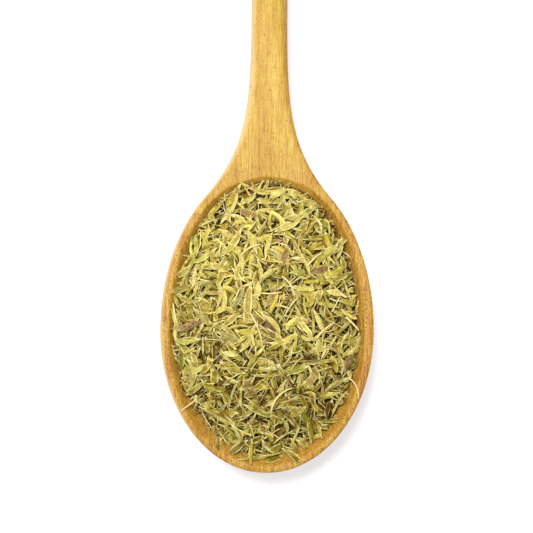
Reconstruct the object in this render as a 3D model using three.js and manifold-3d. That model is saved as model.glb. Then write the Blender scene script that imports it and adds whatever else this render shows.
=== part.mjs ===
// A wooden cooking spoon that lies level, its oval bowl heaped with dried thyme leaves.
// Millimetres, +Z up. The spoon lies along Y: the tip of the bowl is at -Y, the end of the handle at +Y.
// It stands on Z = 0, with the origin under the middle of its length.
import * as THREE from "three";
import { mergeVertices } from "three/addons/utils/BufferGeometryUtils.js";
import Module from "manifold-3d";

const wasm = await Module();
wasm.setup();
const { lerp, smoothstep, clamp, degToRad } = THREE.MathUtils;

// Spoon seen from above
const SPOON_LENGTH = 250;
const BOWL_HALF_WIDTH = 26.75;
const BOWL_TIP_LENGTH = 35.6; // from the widest place to the tip
const BOWL_SHOULDER_LENGTH = 41.25; // the longer half ellipse that the shoulders follow
const SHOULDER_REACH = 32.9; // how far they follow it
const NECK_LENGTH = 52.7; // from the shoulders to the slim handle
const NECK_PULL_BOWL = 13.5; // how long the neck keeps the shoulders' direction
const NECK_PULL_HANDLE = 28.4; // and the handle's
const HANDLE_HALF_WIDTH = 4.55;
const HANDLE_END_HALF_WIDTH = 5.3;

// Spoon seen from the side
const RIM_HEIGHT = 19.6; // at the widest place of the bowl
const BOWL_THICKNESS = 19.95; // rim to keel, a little more than the height, so the keel is cut flat
const HANDLE_THICKNESS = 8.4;
const HANDLE_FOOT_CUT = 0.15; // what the table takes off the handle's end
const RIM_EDGE = 1.5; // the rim's rounded outer edge reaches down this far
const KEEL_LENGTH = 64; // from the widest place to where the keel has become the handle's underside
const RIM_POWER = 10; // how square the sections are: 2 is an ellipse
const KEEL_POWER = 2.1;
const HANDLE_POWER = 2.4;

// Hollow of the bowl
const HOLLOW_HALF_WIDTH = 24.4;
const HOLLOW_TIP_LENGTH = 33.4;
const HOLLOW_NECK_LENGTH = 38.3;
const HOLLOW_DEPTH = 15;
const HOLLOW_POWER = 2.8; // a larger number gives a flatter floor and a steeper wall
const HOLLOW_OUTLINE_POWER = 2.15;
const LIP_CHAMFER_START = 0.972; // share of the hollow's width
const LIP_CHAMFER_SPREAD = 1.2;
const WALL_SHARES = [0.25, 0.45, 0.62, 0.76, 0.87, LIP_CHAMFER_START]; // loops of its wall

// Heap of leaves
const GAP = 0.33; // between pieces that touch
const HEAP_EDGE = 0.95; // the heap meets the wall at this share of the hollow's width
const HEAP_CROWN = 5.4; // above the rim, in the middle
const HEAP_POWER = 2.4;
const HEAP_INSET = 0.2; // what it draws in besides, so that it is clear of a steep wall too
const CORE_UNDER_SHARES = [0.3, 0.52, 0.7, 0.84]; // loops of its core
const CORE_OVER_SHARES = [0.88, 0.74, 0.56, 0.3];
const BLADE_COUNT = 146;
const BLADE_LENGTH = [6.8, 9.0];
const BLADE_WIDTH = [2.3, 3.0];
const BLADE_THICKNESS = 0.75;
const BLADE_ROOT = [-0.75, -0.3]; // where its narrow end lies over the surface
const BLADE_TIP = [-0.3, 0.9]; // and its tip
const BLADE_ARCH = [0.1, 0.6];
const BLADE_ROLL = 0.45; // radians, the most that it leans to a side
const BLADE_STATIONS = [[0.3, 0.66], [0.68, 1]]; // pairs of share of the length and of the width
const RIM_ZONE = 0.78; // outwards of this share the leaves lie more along the rim
const RIM_FREEDOM = 0.3; // the share of all headings that they still take
const GOLDEN_ANGLE = Math.PI * (3 - Math.sqrt(5));
const SEED = 20;

// Loose pieces that lie on the heap and on the rim, by their places in plan
const STALK_THICKNESS = 0.8;
const LOOSE_THICKNESS = 0.7;
const LOOSE_LEAF_WIDTH = 1.9;
const SHOOT_LEAF_WIDTH = 1.5;
const LOOSE_STATIONS = [[0.12, 0.28], [0.4, 0.82], [0.7, 1]];
const STALK_STEPS = 5;
const STALK_SIDES = 6;
const DROP_FROM = 4; // a loose piece is let down from here, over its first guess,
const DROP_TO = -1; // no further than here,
const DROP_STEPS = 8; // in so many halving steps
const STALKS = [
  { from: [-17.4, -106.7], past: [-19.5, -108.6], to: [-21.5, -109.9] },
  { from: [20.2, -100.9], past: [22.3, -102.4], to: [23.0, -106.4] },
  { from: [11.9, -91.6], past: [14.6, -88.7], to: [17.1, -87.0] },
  { from: [-6.6, -70.9], past: [-4.6, -68.8], to: [-1.6, -68.0] },
  { from: [9.6, -73.6], past: [11.7, -71.2], to: [14.2, -69.5] },
  { from: [-3.9, -90.1], past: [-3.5, -91.6], to: [-3.1, -93.3], thick: 1.3 },
  { from: [14.6, -93.1], past: [16.0, -93.8], to: [17.6, -94.7], thick: 1.1 },
  { from: [1.1, -110.1], past: [2.0, -106.3], to: [6.4, -103.5] },
  { from: [19.6, -85.9], past: [21.4, -87.6], to: [22.9, -89.3] },
  { from: [-4.2, -85.0], past: [-2.2, -88.7], to: [-1.0, -93.3] },
  { from: [-23.6, -82.6], past: [-23.1, -86.0], to: [-21.9, -89.3] },
  { from: [3.6, -75.8], past: [5.9, -78.0], to: [6.9, -81.2] },
];
const BROWN_LEAVES = [
  { from: [-8.6, -59.5], to: [-2.2, -60.9] },
  { from: [-22.6, -89.9], to: [-16.2, -87.3] },
  { from: [-18.2, -84.2], to: [-13.6, -88.3] },
  { from: [-0.6, -85.6], to: [1.9, -90.9], width: 2.5 },
  { from: [2.2, -78.2], to: [0.4, -83.4] },
  { from: [5.2, -68.2], to: [3.4, -73.6], width: 2.3 },
  { from: [10.2, -75.6], to: [15.2, -73.6] },
  { from: [-5.9, -101.2], to: [-2.0, -106.6] },
  { from: [12.3, -98.0], to: [10.4, -103.0] },
  { from: [3.5, -108.6], to: [8.8, -109.9] },
  { from: [19.4, -100.0], to: [21.4, -95.2], width: 2.2 },
];
// Shoot tips: leaves that still hold to a bit of stalk. Each leaf is a pair of its heading in degrees
// and its length.
const SHOOT_TIPS = [
  { at: [3.5, -55.0], leaves: [[106, 3.2], [-107, 5.2], [-80, 7.2], [-155, 5.0], [-38, 4.0], [40, 3.0]] },
  { at: [8.1, -61.2], leaves: [[36, 5.6], [88, 4.0], [184, 5.0], [214, 7.6], [-14, 4.0]] },
  { at: [7.9, -86.6], leaves: [[206, 5.0], [-51, 6.8], [-14, 4.2], [80, 3.2]] },
];

// Places that follow from the sizes above
const TIP_Y = -SPOON_LENGTH / 2;
const END_Y = SPOON_LENGTH / 2;
const BOWL_Y = TIP_Y + BOWL_TIP_LENGTH;
const NECK_Y = BOWL_Y + SHOULDER_REACH;
const HANDLE_Y = NECK_Y + NECK_LENGTH;
const CAP_Y = END_Y - HANDLE_END_HALF_WIDTH;
const TOP_SLOPE = (RIM_HEIGHT - HANDLE_THICKNESS + HANDLE_FOOT_CUT) / (CAP_Y - BOWL_Y);
const KEEL_DEPTH = BOWL_THICKNESS - RIM_EDGE;
const HANDLE_HALF_THICKNESS = HANDLE_THICKNESS / 2;

// How finely the shapes are divided
const QUARTER_TURN = Math.PI / 2;
const MERGE_DISTANCE = 1e-3; // vertices closer than this are one
const NECK_HALVINGS = 30;
const TIP_SECTIONS = 10;
const BOWL_SECTIONS = 9;
const NECK_SECTIONS = 11;
const HANDLE_SECTIONS = 9;
const CAP_SECTIONS = 4;
const UNDERSIDE_POINTS = 16;
const TOP_SHARES = [-1, -0.985, -0.95, -0.88, -0.7, -0.36, 0, 0.36, 0.7, 0.88, 0.95, 0.985];
const OVAL_POINTS = 40;

// Materials
const finishes = {
  wood: new THREE.MeshStandardMaterial({ color: 0xdfa850, roughness: 0.55, metalness: 0 }),
  leaf: new THREE.MeshStandardMaterial({ color: 0xa9a64c, roughness: 0.85, metalness: 0 }),
  brownLeaf: new THREE.MeshStandardMaterial({ color: 0x8c6a4a, roughness: 0.85, metalness: 0 }),
  stalk: new THREE.MeshStandardMaterial({ color: 0xd9c987, roughness: 0.8, metalness: 0 }),
};

// A row of random numbers from 0 to 1 that is the same on every run, by the mulberry32 formula.
function seededRandom(seed) {
  let state = seed;
  return () => {
    state = (state + 0x6d2b79f5) | 0;
    let mixed = Math.imul(state ^ (state >>> 15), 1 | state);
    mixed = (mixed + Math.imul(mixed ^ (mixed >>> 7), 61 | mixed)) ^ mixed;
    return ((mixed ^ (mixed >>> 14)) >>> 0) / 2 ** 32;
  };
}

// A closed skin: a point, loops of equally many points, and a point.
// Seen from the last point, each loop runs anticlockwise.
function skin(first, loops, last) {
  const size = loops[0].length;
  const points = [first, ...loops.flat(), last];
  const lastIndex = points.length - 1;
  const at = (loop, place) => 1 + loop * size + (place % size);
  const faces = [];
  for (let place = 0; place < size; place++) {
    faces.push(0, at(0, place + 1), at(0, place));
    faces.push(lastIndex, at(loops.length - 1, place), at(loops.length - 1, place + 1));
    for (let loop = 0; loop + 1 < loops.length; loop++) {
      faces.push(at(loop, place), at(loop, place + 1), at(loop + 1, place + 1));
      faces.push(at(loop, place), at(loop + 1, place + 1), at(loop + 1, place));
    }
  }
  const geometry = new THREE.BufferGeometry().setFromPoints(points);
  geometry.setIndex(faces);
  return geometry;
}

function toSolid(geometry) {
  const bare = new THREE.BufferGeometry();
  bare.setAttribute("position", geometry.getAttribute("position"));
  bare.setIndex(geometry.index);
  const merged = mergeVertices(bare, MERGE_DISTANCE);
  const vertProperties = merged.getAttribute("position").array;
  const triVerts = new Uint32Array(merged.index.array);
  return new wasm.Manifold(new wasm.Mesh({ numProp: 3, vertProperties, triVerts }));
}

function toGeometry(solid) {
  const { vertProperties, triVerts } = solid.getMesh();
  const geometry = new THREE.BufferGeometry();
  geometry.setAttribute("position", new THREE.BufferAttribute(vertProperties, 3));
  geometry.setIndex(new THREE.BufferAttribute(triVerts, 1));
  geometry.computeVertexNormals();
  return geometry;
}

function namedMesh(name, geometry, material) {
  geometry.computeVertexNormals();
  const mesh = new THREE.Mesh(geometry, material);
  mesh.name = name;
  return mesh;
}

// The neck's outline, as half widths along the spoon: it leaves the shoulders in their own
// direction and runs into the straight handle.
function neckOutline() {
  const reach = SHOULDER_REACH / BOWL_SHOULDER_LENGTH;
  const share = Math.sqrt(1 - reach ** 2);
  const shoulder = BOWL_HALF_WIDTH * share;
  const slope = -(BOWL_HALF_WIDTH / BOWL_SHOULDER_LENGTH) * (reach / share);
  return new THREE.CubicBezierCurve(
    new THREE.Vector2(NECK_Y, shoulder),
    new THREE.Vector2(NECK_Y + NECK_PULL_BOWL, shoulder + slope * NECK_PULL_BOWL),
    new THREE.Vector2(HANDLE_Y - NECK_PULL_HANDLE, HANDLE_HALF_WIDTH),
    new THREE.Vector2(HANDLE_Y, HANDLE_HALF_WIDTH),
  );
}
const neck = neckOutline();

// The neck's half width at y, found by halving the curve's range.
function neckHalfWidth(y) {
  let low = 0;
  let high = 1;
  for (let step = 0; step < NECK_HALVINGS; step++) {
    const middle = (low + high) / 2;
    if (neck.getPoint(middle).x < y) low = middle;
    else high = middle;
  }
  return neck.getPoint(low).y;
}

// The spoon's half width at y, without the rounding of the handle's end.
function halfWidth(y) {
  if (y < NECK_Y) {
    const share = (y - BOWL_Y) / (y < BOWL_Y ? BOWL_TIP_LENGTH : BOWL_SHOULDER_LENGTH);
    return BOWL_HALF_WIDTH * Math.sqrt(Math.max(0, 1 - share ** 2));
  }
  if (y < HANDLE_Y) return neckHalfWidth(y);
  return lerp(HANDLE_HALF_WIDTH, HANDLE_END_HALF_WIDTH, smoothstep(y, HANDLE_Y, CAP_Y));
}

// The straight line that the rim and the handle's top share in the side view.
function rimHeight(y) {
  return RIM_HEIGHT - TOP_SLOPE * (y - BOWL_Y);
}

// A point of the spoon's outside at y. Across runs from -1 to 1 over the section, and side is 1 for
// the top and -1 for the underside. Each section is a superellipse on the widest line, and closing,
// which is 0 along the spoon and 1 at both of its ends, shrinks it to a point there.
function outsidePoint(y, across, side) {
  const inCap = Math.max(0, (y - CAP_Y) / (END_Y - CAP_Y));
  const closing = y < BOWL_Y ? (BOWL_Y - y) / BOWL_TIP_LENGTH : inCap;
  const width = y < BOWL_Y ? halfWidth(y) : halfWidth(y) * Math.sqrt(1 - closing ** 2);
  const reach = Math.min(1, Math.sqrt(closing ** 2 + (1 - closing ** 2) * across ** 2));
  const toHandle = smoothstep(y, NECK_Y, HANDLE_Y);
  const along = clamp((y - BOWL_Y) / KEEL_LENGTH, 0, 1);
  const up = lerp(RIM_EDGE, HANDLE_HALF_THICKNESS, toHandle);
  const down = lerp(HANDLE_HALF_THICKNESS, KEEL_DEPTH, (1 - along ** 2) ** 2);
  const power = lerp(side > 0 ? RIM_POWER : KEEL_POWER, HANDLE_POWER, toHandle);
  const bulge = (1 - reach ** power) ** (1 / power);
  const height = rimHeight(y) - up + (side > 0 ? up : -down) * bulge;
  return new THREE.Vector3(width * across, y, Math.max(0, height));
}

// Shares that crowd towards the ends of a half or a whole range.
function crowdedShares(count, from, to) {
  return Array.from({ length: count + 1 }, (_, k) => Math.sin(lerp(from, to, k / count)));
}

// Where the sections stand along the spoon, closest at its two round ends.
function sectionPlaces() {
  const evenly = (from, to, count) => Array.from({ length: count }, (_, k) => lerp(from, to, k / count));
  const tipShares = crowdedShares(TIP_SECTIONS, -QUARTER_TURN, 0).slice(1, -1);
  const capShares = crowdedShares(CAP_SECTIONS, 0, QUARTER_TURN).slice(0, -1);
  return [
    ...tipShares.map((share) => BOWL_Y + share * BOWL_TIP_LENGTH),
    ...evenly(BOWL_Y, NECK_Y, BOWL_SECTIONS),
    ...evenly(NECK_Y, HANDLE_Y, NECK_SECTIONS),
    ...evenly(HANDLE_Y, CAP_Y, HANDLE_SECTIONS),
    ...capShares.map((share) => lerp(CAP_Y, END_Y, share)),
  ];
}

function spoonBlank() {
  const under = crowdedShares(UNDERSIDE_POINTS, QUARTER_TURN, -QUARTER_TURN).slice(0, -1);
  const loops = sectionPlaces().map((y) => [
    ...under.map((across) => outsidePoint(y, across, -1)),
    ...TOP_SHARES.map((across) => outsidePoint(y, across, 1)),
  ]);
  return skin(outsidePoint(TIP_Y, 0, 1), loops, outsidePoint(END_Y, 0, 1));
}

// The height of the hollow's floor and wall below the rim, at a share of the way to the lip.
function hollowDepth(share) {
  return HOLLOW_DEPTH * (1 - share ** HOLLOW_POWER);
}

// A loop of the bowl's oval at a share of the hollow's size, spread outwards and raised over the rim.
function ovalLoop({ share, spread = 0, rise }) {
  const squarer = (value) => Math.sign(value) * Math.abs(value) ** (2 / HOLLOW_OUTLINE_POWER);
  return Array.from({ length: OVAL_POINTS }, (_, k) => {
    const angle = (k / OVAL_POINTS) * 2 * Math.PI;
    const length = Math.sin(angle) < 0 ? HOLLOW_TIP_LENGTH : HOLLOW_NECK_LENGTH;
    const x = (HOLLOW_HALF_WIDTH * share + spread) * squarer(Math.cos(angle));
    const y = BOWL_Y + (length * share + spread) * squarer(Math.sin(angle));
    return new THREE.Vector3(x, y, rimHeight(y) + rise);
  });
}

// A closed body of such loops, from a point under its middle to a point over it.
function ovalBody(bottomRise, loops, topRise) {
  const middle = (rise) => new THREE.Vector3(0, BOWL_Y, rimHeight(BOWL_Y) + rise);
  return skin(middle(bottomRise), loops.map((loop) => ovalLoop(loop)), middle(topRise));
}

// The hollow is cut with a body whose wall ends in a small chamfer, the softened lip.
function hollowTool() {
  const wall = WALL_SHARES.map((share) => ({ share, rise: -hollowDepth(share) }));
  const lip = { share: LIP_CHAMFER_START, spread: LIP_CHAMFER_SPREAD + GAP, rise: RIM_EDGE / 2 };
  return ovalBody(-HOLLOW_DEPTH, [...wall, lip], 2 * RIM_EDGE);
}

// How far a point in plan lies from the bowl's middle, as a share of the hollow's size.
function shareOfHollow(x, y) {
  const length = y < BOWL_Y ? HOLLOW_TIP_LENGTH : HOLLOW_NECK_LENGTH;
  const across = Math.abs(x) / HOLLOW_HALF_WIDTH;
  const along = Math.abs(y - BOWL_Y) / length;
  return (across ** HOLLOW_OUTLINE_POWER + along ** HOLLOW_OUTLINE_POWER) ** (1 / HOLLOW_OUTLINE_POWER);
}

// The heap's surface over the rim line: a dome that meets the wall a little below the lip.
function domeRise(share) {
  const edge = -hollowDepth(HEAP_EDGE);
  return edge + (HEAP_CROWN - edge) * (1 - Math.min(1, share / HEAP_EDGE) ** HEAP_POWER);
}

function domeHeight(x, y) {
  return rimHeight(y) + domeRise(shareOfHollow(x, y));
}

// A loop just clear of the hollow's floor or wall.
function liningLoop(share) {
  return { share, spread: -HEAP_INSET * share, rise: GAP - hollowDepth(share) };
}

function heapCore() {
  const lining = [...CORE_UNDER_SHARES, HEAP_EDGE].map(liningLoop);
  const over = CORE_OVER_SHARES.map((share) => ({ share, rise: domeRise(share) }));
  return ovalBody(GAP - HOLLOW_DEPTH, [...lining, ...over], HEAP_CROWN);
}

// All the room that leaves may fill: the hollow, clear of its wall, and the space over the rim.
function headroom() {
  const overRim = { share: 1, spread: LIP_CHAMFER_SPREAD, rise: RIM_EDGE / 2 + GAP };
  const side = { share: 1, spread: 2 * LIP_CHAMFER_SPREAD, rise: RIM_EDGE };
  return ovalBody(GAP - HOLLOW_DEPTH, [...WALL_SHARES.map(liningLoop), overRim, side], 3 * HEAP_CROWN);
}

// A leaf between two points: narrow where it was picked, widest past its middle, with a ridge along
// its upper face. It arches, rolls to a side and may be flat below.
function leafBlade(from, to, { width, thickness, arch = 0, roll = 0, stations, flatBelow = false }) {
  const along = to.clone().sub(from).normalize();
  const flat = new THREE.Vector3(-along.y, along.x, 0).normalize().applyAxisAngle(along, roll);
  const up = along.clone().cross(flat);
  const loops = stations.map(([place, wide]) => {
    const middle = from.clone().lerp(to, place).addScaledVector(up, arch * 4 * place * (1 - place));
    const side = flat.clone().multiplyScalar((width / 2) * wide);
    const ridge = up.clone().multiplyScalar(flatBelow ? thickness : thickness / 2);
    const section = [middle.clone().add(side), middle.clone().add(ridge), middle.clone().sub(side)];
    return flatBelow ? section : [...section, middle.clone().sub(ridge)];
  });
  return skin(from, loops, to);
}

// The leaves are strewn over the dome in a sunflower's spiral, which spaces them evenly, and each
// one is turned and tilted by chance, its narrow end sunk in. Those by the rim lie more along it.
function strewnBlades() {
  const random = seededRandom(SEED);
  const between = ([low, high]) => lerp(low, high, random());
  const blades = [];
  for (let k = 0; k < BLADE_COUNT; k++) {
    const share = HEAP_EDGE * Math.sqrt((k + 0.5) / BLADE_COUNT);
    const angle = k * GOLDEN_ANGLE;
    const length = Math.sin(angle) < 0 ? HOLLOW_TIP_LENGTH : HOLLOW_NECK_LENGTH;
    const x = HOLLOW_HALF_WIDTH * share * Math.cos(angle);
    const y = BOWL_Y + length * share * Math.sin(angle);
    const alongRim = Math.atan2(length * Math.cos(angle), -HOLLOW_HALF_WIDTH * Math.sin(angle));
    const freedom = share > RIM_ZONE ? RIM_FREEDOM : 1;
    const heading = alongRim + (random() - 0.5) * Math.PI * 2 * freedom;
    const half = between(BLADE_LENGTH) / 2;
    const end = (side, rise) => {
      const endX = x + side * half * Math.cos(heading);
      const endY = y + side * half * Math.sin(heading);
      return new THREE.Vector3(endX, endY, domeHeight(endX, endY) + rise);
    };
    blades.push(
      leafBlade(end(-1, between(BLADE_ROOT)), end(1, between(BLADE_TIP)), {
        width: between(BLADE_WIDTH),
        thickness: BLADE_THICKNESS,
        arch: between(BLADE_ARCH),
        roll: between([-BLADE_ROLL, BLADE_ROLL]),
        stations: BLADE_STATIONS,
        flatBelow: true,
      }),
    );
  }
  return blades;
}

function largestBody(solid) {
  const larger = (one, other) => (other.volume() > one.volume() ? other : one);
  return solid.decompose().reduce(larger);
}

// The heap in one solid: core and leaves joined, trimmed to the room they have, without loose scraps.
// A scrap that hangs on by a hair comes off once vertices are merged, so it is looked for twice.
function leafHeap() {
  let heap = toSolid(heapCore());
  for (const blade of strewnBlades()) heap = heap.add(toSolid(blade));
  const trimmed = largestBody(heap.intersect(toSolid(headroom())));
  return largestBody(toSolid(toGeometry(trimmed)));
}

// What a loose piece lies on: the dome, then the bowl's wall, then the rim.
function bedHeight(x, y) {
  const share = shareOfHollow(x, y);
  const rise = share < HEAP_EDGE ? domeRise(share) : -hollowDepth(Math.min(share, 1));
  return rimHeight(y) + rise;
}

// The heights of a stiff piece over those of its bed: it spans what lies below a straight line
// between two places that carry it.
function spanned(heights) {
  return heights.map((own, k) => {
    const spans = heights.slice(0, k).flatMap((before, a) =>
      heights.slice(k + 1).map((after, b) => lerp(before, after, (k - a) / (b + 1 + k - a))),
    );
    return Math.max(own, ...spans);
  });
}

// A thin stalk that bends through three places, as a straight-sided rod.
function stalkShape({ from, past, to, thick = STALK_THICKNESS }, grow) {
  const plan = new THREE.CatmullRomCurve3([from, past, to].map(([x, y]) => new THREE.Vector3(x, y, 0)));
  const points = plan.getPoints(STALK_STEPS);
  const heights = spanned(points.map(({ x, y }) => bedHeight(x, y)));
  points.forEach((point, k) => point.setZ(heights[k] + thick));
  const stretch = (end, next) => end.addScaledVector(end.clone().sub(next).normalize(), grow);
  stretch(points[0], points[1]);
  stretch(points[STALK_STEPS], points[STALK_STEPS - 1]);
  const radius = thick / 2 + grow;
  const circle = new THREE.EllipseCurve(0, 0, radius, radius);
  const section = new THREE.Shape(circle.getPoints(STALK_SIDES).slice(1));
  const extrudePath = new THREE.CatmullRomCurve3(points);
  return new THREE.ExtrudeGeometry(section, { steps: STALK_STEPS, bevelEnabled: false, extrudePath });
}

// A leaf that lies loose between two places in plan, bigger by grow all round.
function looseBlade(from, to, width, grow) {
  const middle = [(from[0] + to[0]) / 2, (from[1] + to[1]) / 2];
  const heights = spanned([from, middle, to].map(([x, y]) => bedHeight(x, y)));
  const start = new THREE.Vector3(...from, heights[0] + LOOSE_THICKNESS);
  const end = new THREE.Vector3(...to, heights[2] + LOOSE_THICKNESS);
  const along = end.clone().sub(start).normalize();
  return leafBlade(start.addScaledVector(along, -grow), end.addScaledVector(along, grow), {
    width: width + 2 * grow,
    thickness: LOOSE_THICKNESS + 2 * grow,
    arch: heights[1] - (heights[0] + heights[2]) / 2,
    stations: LOOSE_STATIONS,
  });
}

// A shoot tip in one solid: its leaves all start a little behind the same place.
function shootTip({ at: [x, y], leaves }, grow) {
  const solids = leaves.map(([heading, length]) => {
    const toward = (distance) => [
      x + distance * Math.cos(degToRad(heading)),
      y + distance * Math.sin(degToRad(heading)),
    ];
    return toSolid(looseBlade(toward(-SHOOT_LEAF_WIDTH), toward(length), SHOOT_LEAF_WIDTH, grow));
  });
  return toGeometry(solids.reduce((whole, solid) => whole.add(solid)));
}

// Lowers a piece, in halving steps, to where a copy that is bigger by the gap would just not touch
// what lies there already.
function seated(shape, settled) {
  const grown = shape(GAP);
  const clearAt = (lift) => {
    const solid = toSolid(grown.clone().translate(0, 0, lift));
    return settled.every((other) => solid.intersect(other).isEmpty());
  };
  let low = DROP_TO;
  let high = DROP_FROM;
  for (let step = 0; step < DROP_STEPS; step++) {
    const middle = (low + high) / 2;
    if (clearAt(middle)) high = middle;
    else low = middle;
  }
  return shape(0).translate(0, 0, high);
}

const spoon = toSolid(spoonBlank()).subtract(toSolid(hollowTool()));
const heap = leafHeap();

const group = new THREE.Group();
group.add(namedMesh("spoon", toGeometry(spoon), finishes.wood));
group.add(namedMesh("leaf_heap", toGeometry(heap), finishes.leaf));

// The loose pieces come to rest one after another, each on those before it.
const settled = [spoon, heap];

function scatter(name, material, pieces, shapeOf) {
  pieces.forEach((piece, k) => {
    const geometry = seated((grow) => shapeOf(piece, grow), settled);
    settled.push(toSolid(geometry));
    group.add(namedMesh(`${name}_${String(k + 1).padStart(2, "0")}`, geometry, material));
  });
}

scatter("shoot_tip", finishes.leaf, SHOOT_TIPS, shootTip);
scatter("brown_leaf", finishes.brownLeaf, BROWN_LEAVES, ({ from, to, width = LOOSE_LEAF_WIDTH }, grow) =>
  looseBlade(from, to, width, grow),
);
scatter("stalk", finishes.stalk, STALKS, stalkShape);

export default group;
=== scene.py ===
"""A wooden spoon of dried thyme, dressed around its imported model.

The spoon is carved from one piece of honey-coloured wood. Its bowl holds a heap of dried leaves, with
browned leaves, stalk bits, shoot tips and flower bits among them. Shapes are worked out in
millimetres and become metres where a mesh is made.
"""

from __future__ import annotations

import logging
import math
from collections.abc import Mapping, Sequence
from dataclasses import dataclass, field
from enum import Enum

import bpy
import numpy as np
from numpy.typing import NDArray
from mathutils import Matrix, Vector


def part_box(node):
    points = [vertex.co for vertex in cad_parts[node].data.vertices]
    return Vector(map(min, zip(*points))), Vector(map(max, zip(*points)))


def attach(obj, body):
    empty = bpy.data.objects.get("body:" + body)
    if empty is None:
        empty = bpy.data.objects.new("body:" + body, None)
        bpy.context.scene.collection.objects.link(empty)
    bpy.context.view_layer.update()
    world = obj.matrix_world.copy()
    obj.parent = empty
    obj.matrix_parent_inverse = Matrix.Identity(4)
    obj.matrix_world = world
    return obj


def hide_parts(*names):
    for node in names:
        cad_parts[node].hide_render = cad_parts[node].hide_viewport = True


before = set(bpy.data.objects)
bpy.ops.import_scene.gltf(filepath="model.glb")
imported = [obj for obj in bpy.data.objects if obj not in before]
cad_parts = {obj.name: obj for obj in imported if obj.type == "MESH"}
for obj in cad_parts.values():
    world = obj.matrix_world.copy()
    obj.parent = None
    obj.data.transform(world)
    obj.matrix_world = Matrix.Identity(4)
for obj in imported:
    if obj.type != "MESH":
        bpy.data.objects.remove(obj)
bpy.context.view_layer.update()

Array = NDArray[np.float64]
Colour = tuple[float, float, float]
Socket = bpy.types.NodeSocket
Input = "Signal | Socket | float | Sequence[float]"

MM = 0.001
BODY = "root"
TINT = "tint"
LEAF_MAP = "LeafMap"
log = logging.getLogger("dried_thyme")


# Small helpers


def srgb(red: int, green: int, blue: int) -> Colour:
    """Turns a screen colour from 0 to 255 into the linear colour that shaders use."""
    shares = np.array([red, green, blue]) / 255
    linear = np.where(shares <= 0.04045, shares / 12.92, ((shares + 0.055) / 1.055) ** 2.4)
    return tuple(float(value) for value in linear)


def smooth(value: Array, low: float, high: float) -> Array:
    """Rises from 0 at low to 1 at high, level at both ends."""
    share = np.clip((value - low) / (high - low), 0, 1)
    return share * share * (3 - 2 * share)


def mix(start: Array | float, end: Array | float, share: Array | float) -> Array:
    """Goes straight from start at share 0 to end at share 1."""
    return start + (end - start) * share


def soft_minimum(one: Array, other: Array, softness: Array | float) -> Array:
    """The lower of two heights, with the corner between them rounded over a height of softness."""
    share = np.clip(0.5 + 0.5 * (other - one) / softness, 0, 1)
    return mix(other, one, share) - softness * share * (1 - share)


# Meshes


@dataclass
class Shell:
    """Closed surfaces before they become a mesh: corners in millimetres, and faces by corner number."""

    points: Array
    quads: NDArray[np.int64]
    triangles: NDArray[np.int64]
    colours: Array | None = None
    places: Array | None = None
    creases: tuple[float, ...] = ()

    def to_piece(self, name: str) -> bpy.types.Object:
        """Makes the object, in metres, smooth, with its colours and its map.

        Args:
            name: The name of the object and of its mesh.

        Returns:
            The object, linked to the scene's collection.
        """
        mesh = bpy.data.meshes.new(name)
        corners = np.concatenate([self.quads.ravel(), self.triangles.ravel()])
        sizes = np.concatenate([np.full(len(self.quads), 4), np.full(len(self.triangles), 3)])
        mesh.vertices.add(len(self.points))
        mesh.vertices.foreach_set("co", (self.points * MM).astype(np.float32).ravel())
        mesh.loops.add(len(corners))
        mesh.loops.foreach_set("vertex_index", corners.astype(np.int32))
        mesh.polygons.add(len(sizes))
        mesh.polygons.foreach_set("loop_start", (np.cumsum(sizes) - sizes).astype(np.int32))
        mesh.update(calc_edges=True)
        mesh.validate()
        mesh.shade_smooth()
        if self.colours is not None:
            rgba = np.concatenate([self.colours, np.ones((len(self.colours), 1))], axis=1)
            attribute = mesh.attributes.new(TINT, "FLOAT_COLOR", "POINT")
            attribute.data.foreach_set("color", rgba.astype(np.float32).ravel())
        if self.places is not None:
            layer = mesh.uv_layers.new(name=LEAF_MAP)
            layer.uv.foreach_set("vector", self.places[corners].astype(np.float32).ravel())
        if self.creases:
            self.crease(mesh)
        piece = bpy.data.objects.new(name, mesh)
        bpy.context.scene.collection.objects.link(piece)
        return piece

    def crease(self, mesh: bpy.types.Mesh) -> None:
        """Makes the edges sharp that run along a bit at one of the creases, which are map places."""
        ends = np.empty(2 * len(mesh.edges), np.int32)
        mesh.edges.foreach_get("vertices", ends)
        start, end = self.places[ends.reshape(-1, 2), 1].T
        sharp = np.isclose(start, end) & np.isclose(start[:, None], self.creases).any(axis=1)
        mesh.attributes.new("sharp_edge", "BOOLEAN", "EDGE").data.foreach_set("value", sharp)


def loop_faces(loops: int, size: int) -> tuple[NDArray[np.int64], NDArray[np.int64]]:
    """Joins loops of equally many corners into a tube, closed by a first and a last corner.

    Corner 0 is the first, then come the loops one after another, then the last corner.

    Args:
        loops: How many loops there are.
        size: How many corners a loop has.

    Returns:
        The tube's quads and the two fans' triangles. Seen from the last corner, each loop runs
        anticlockwise where faces point out.
    """
    here = np.arange(size)
    ahead = (here + 1) % size
    base = 1 + size * np.arange(loops - 1)[:, None]
    quads = np.stack([base + here, base + ahead, base + size + ahead, base + size + here], -1)
    end = 1 + size * (loops - 1)
    first = np.stack([np.zeros(size, np.int64), 1 + ahead, 1 + here], -1)
    last = np.stack([np.full(size, 1 + size * loops), end + here, end + ahead], -1)
    return quads.reshape(-1, 4), np.concatenate([first, last])


def repeated(faces: NDArray[np.int64], count: int, size: int) -> NDArray[np.int64]:
    """The same faces for count copies whose corners follow each other, size corners a copy."""
    return (faces[None] + size * np.arange(count)[:, None, None]).reshape(-1, faces.shape[1])


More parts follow.
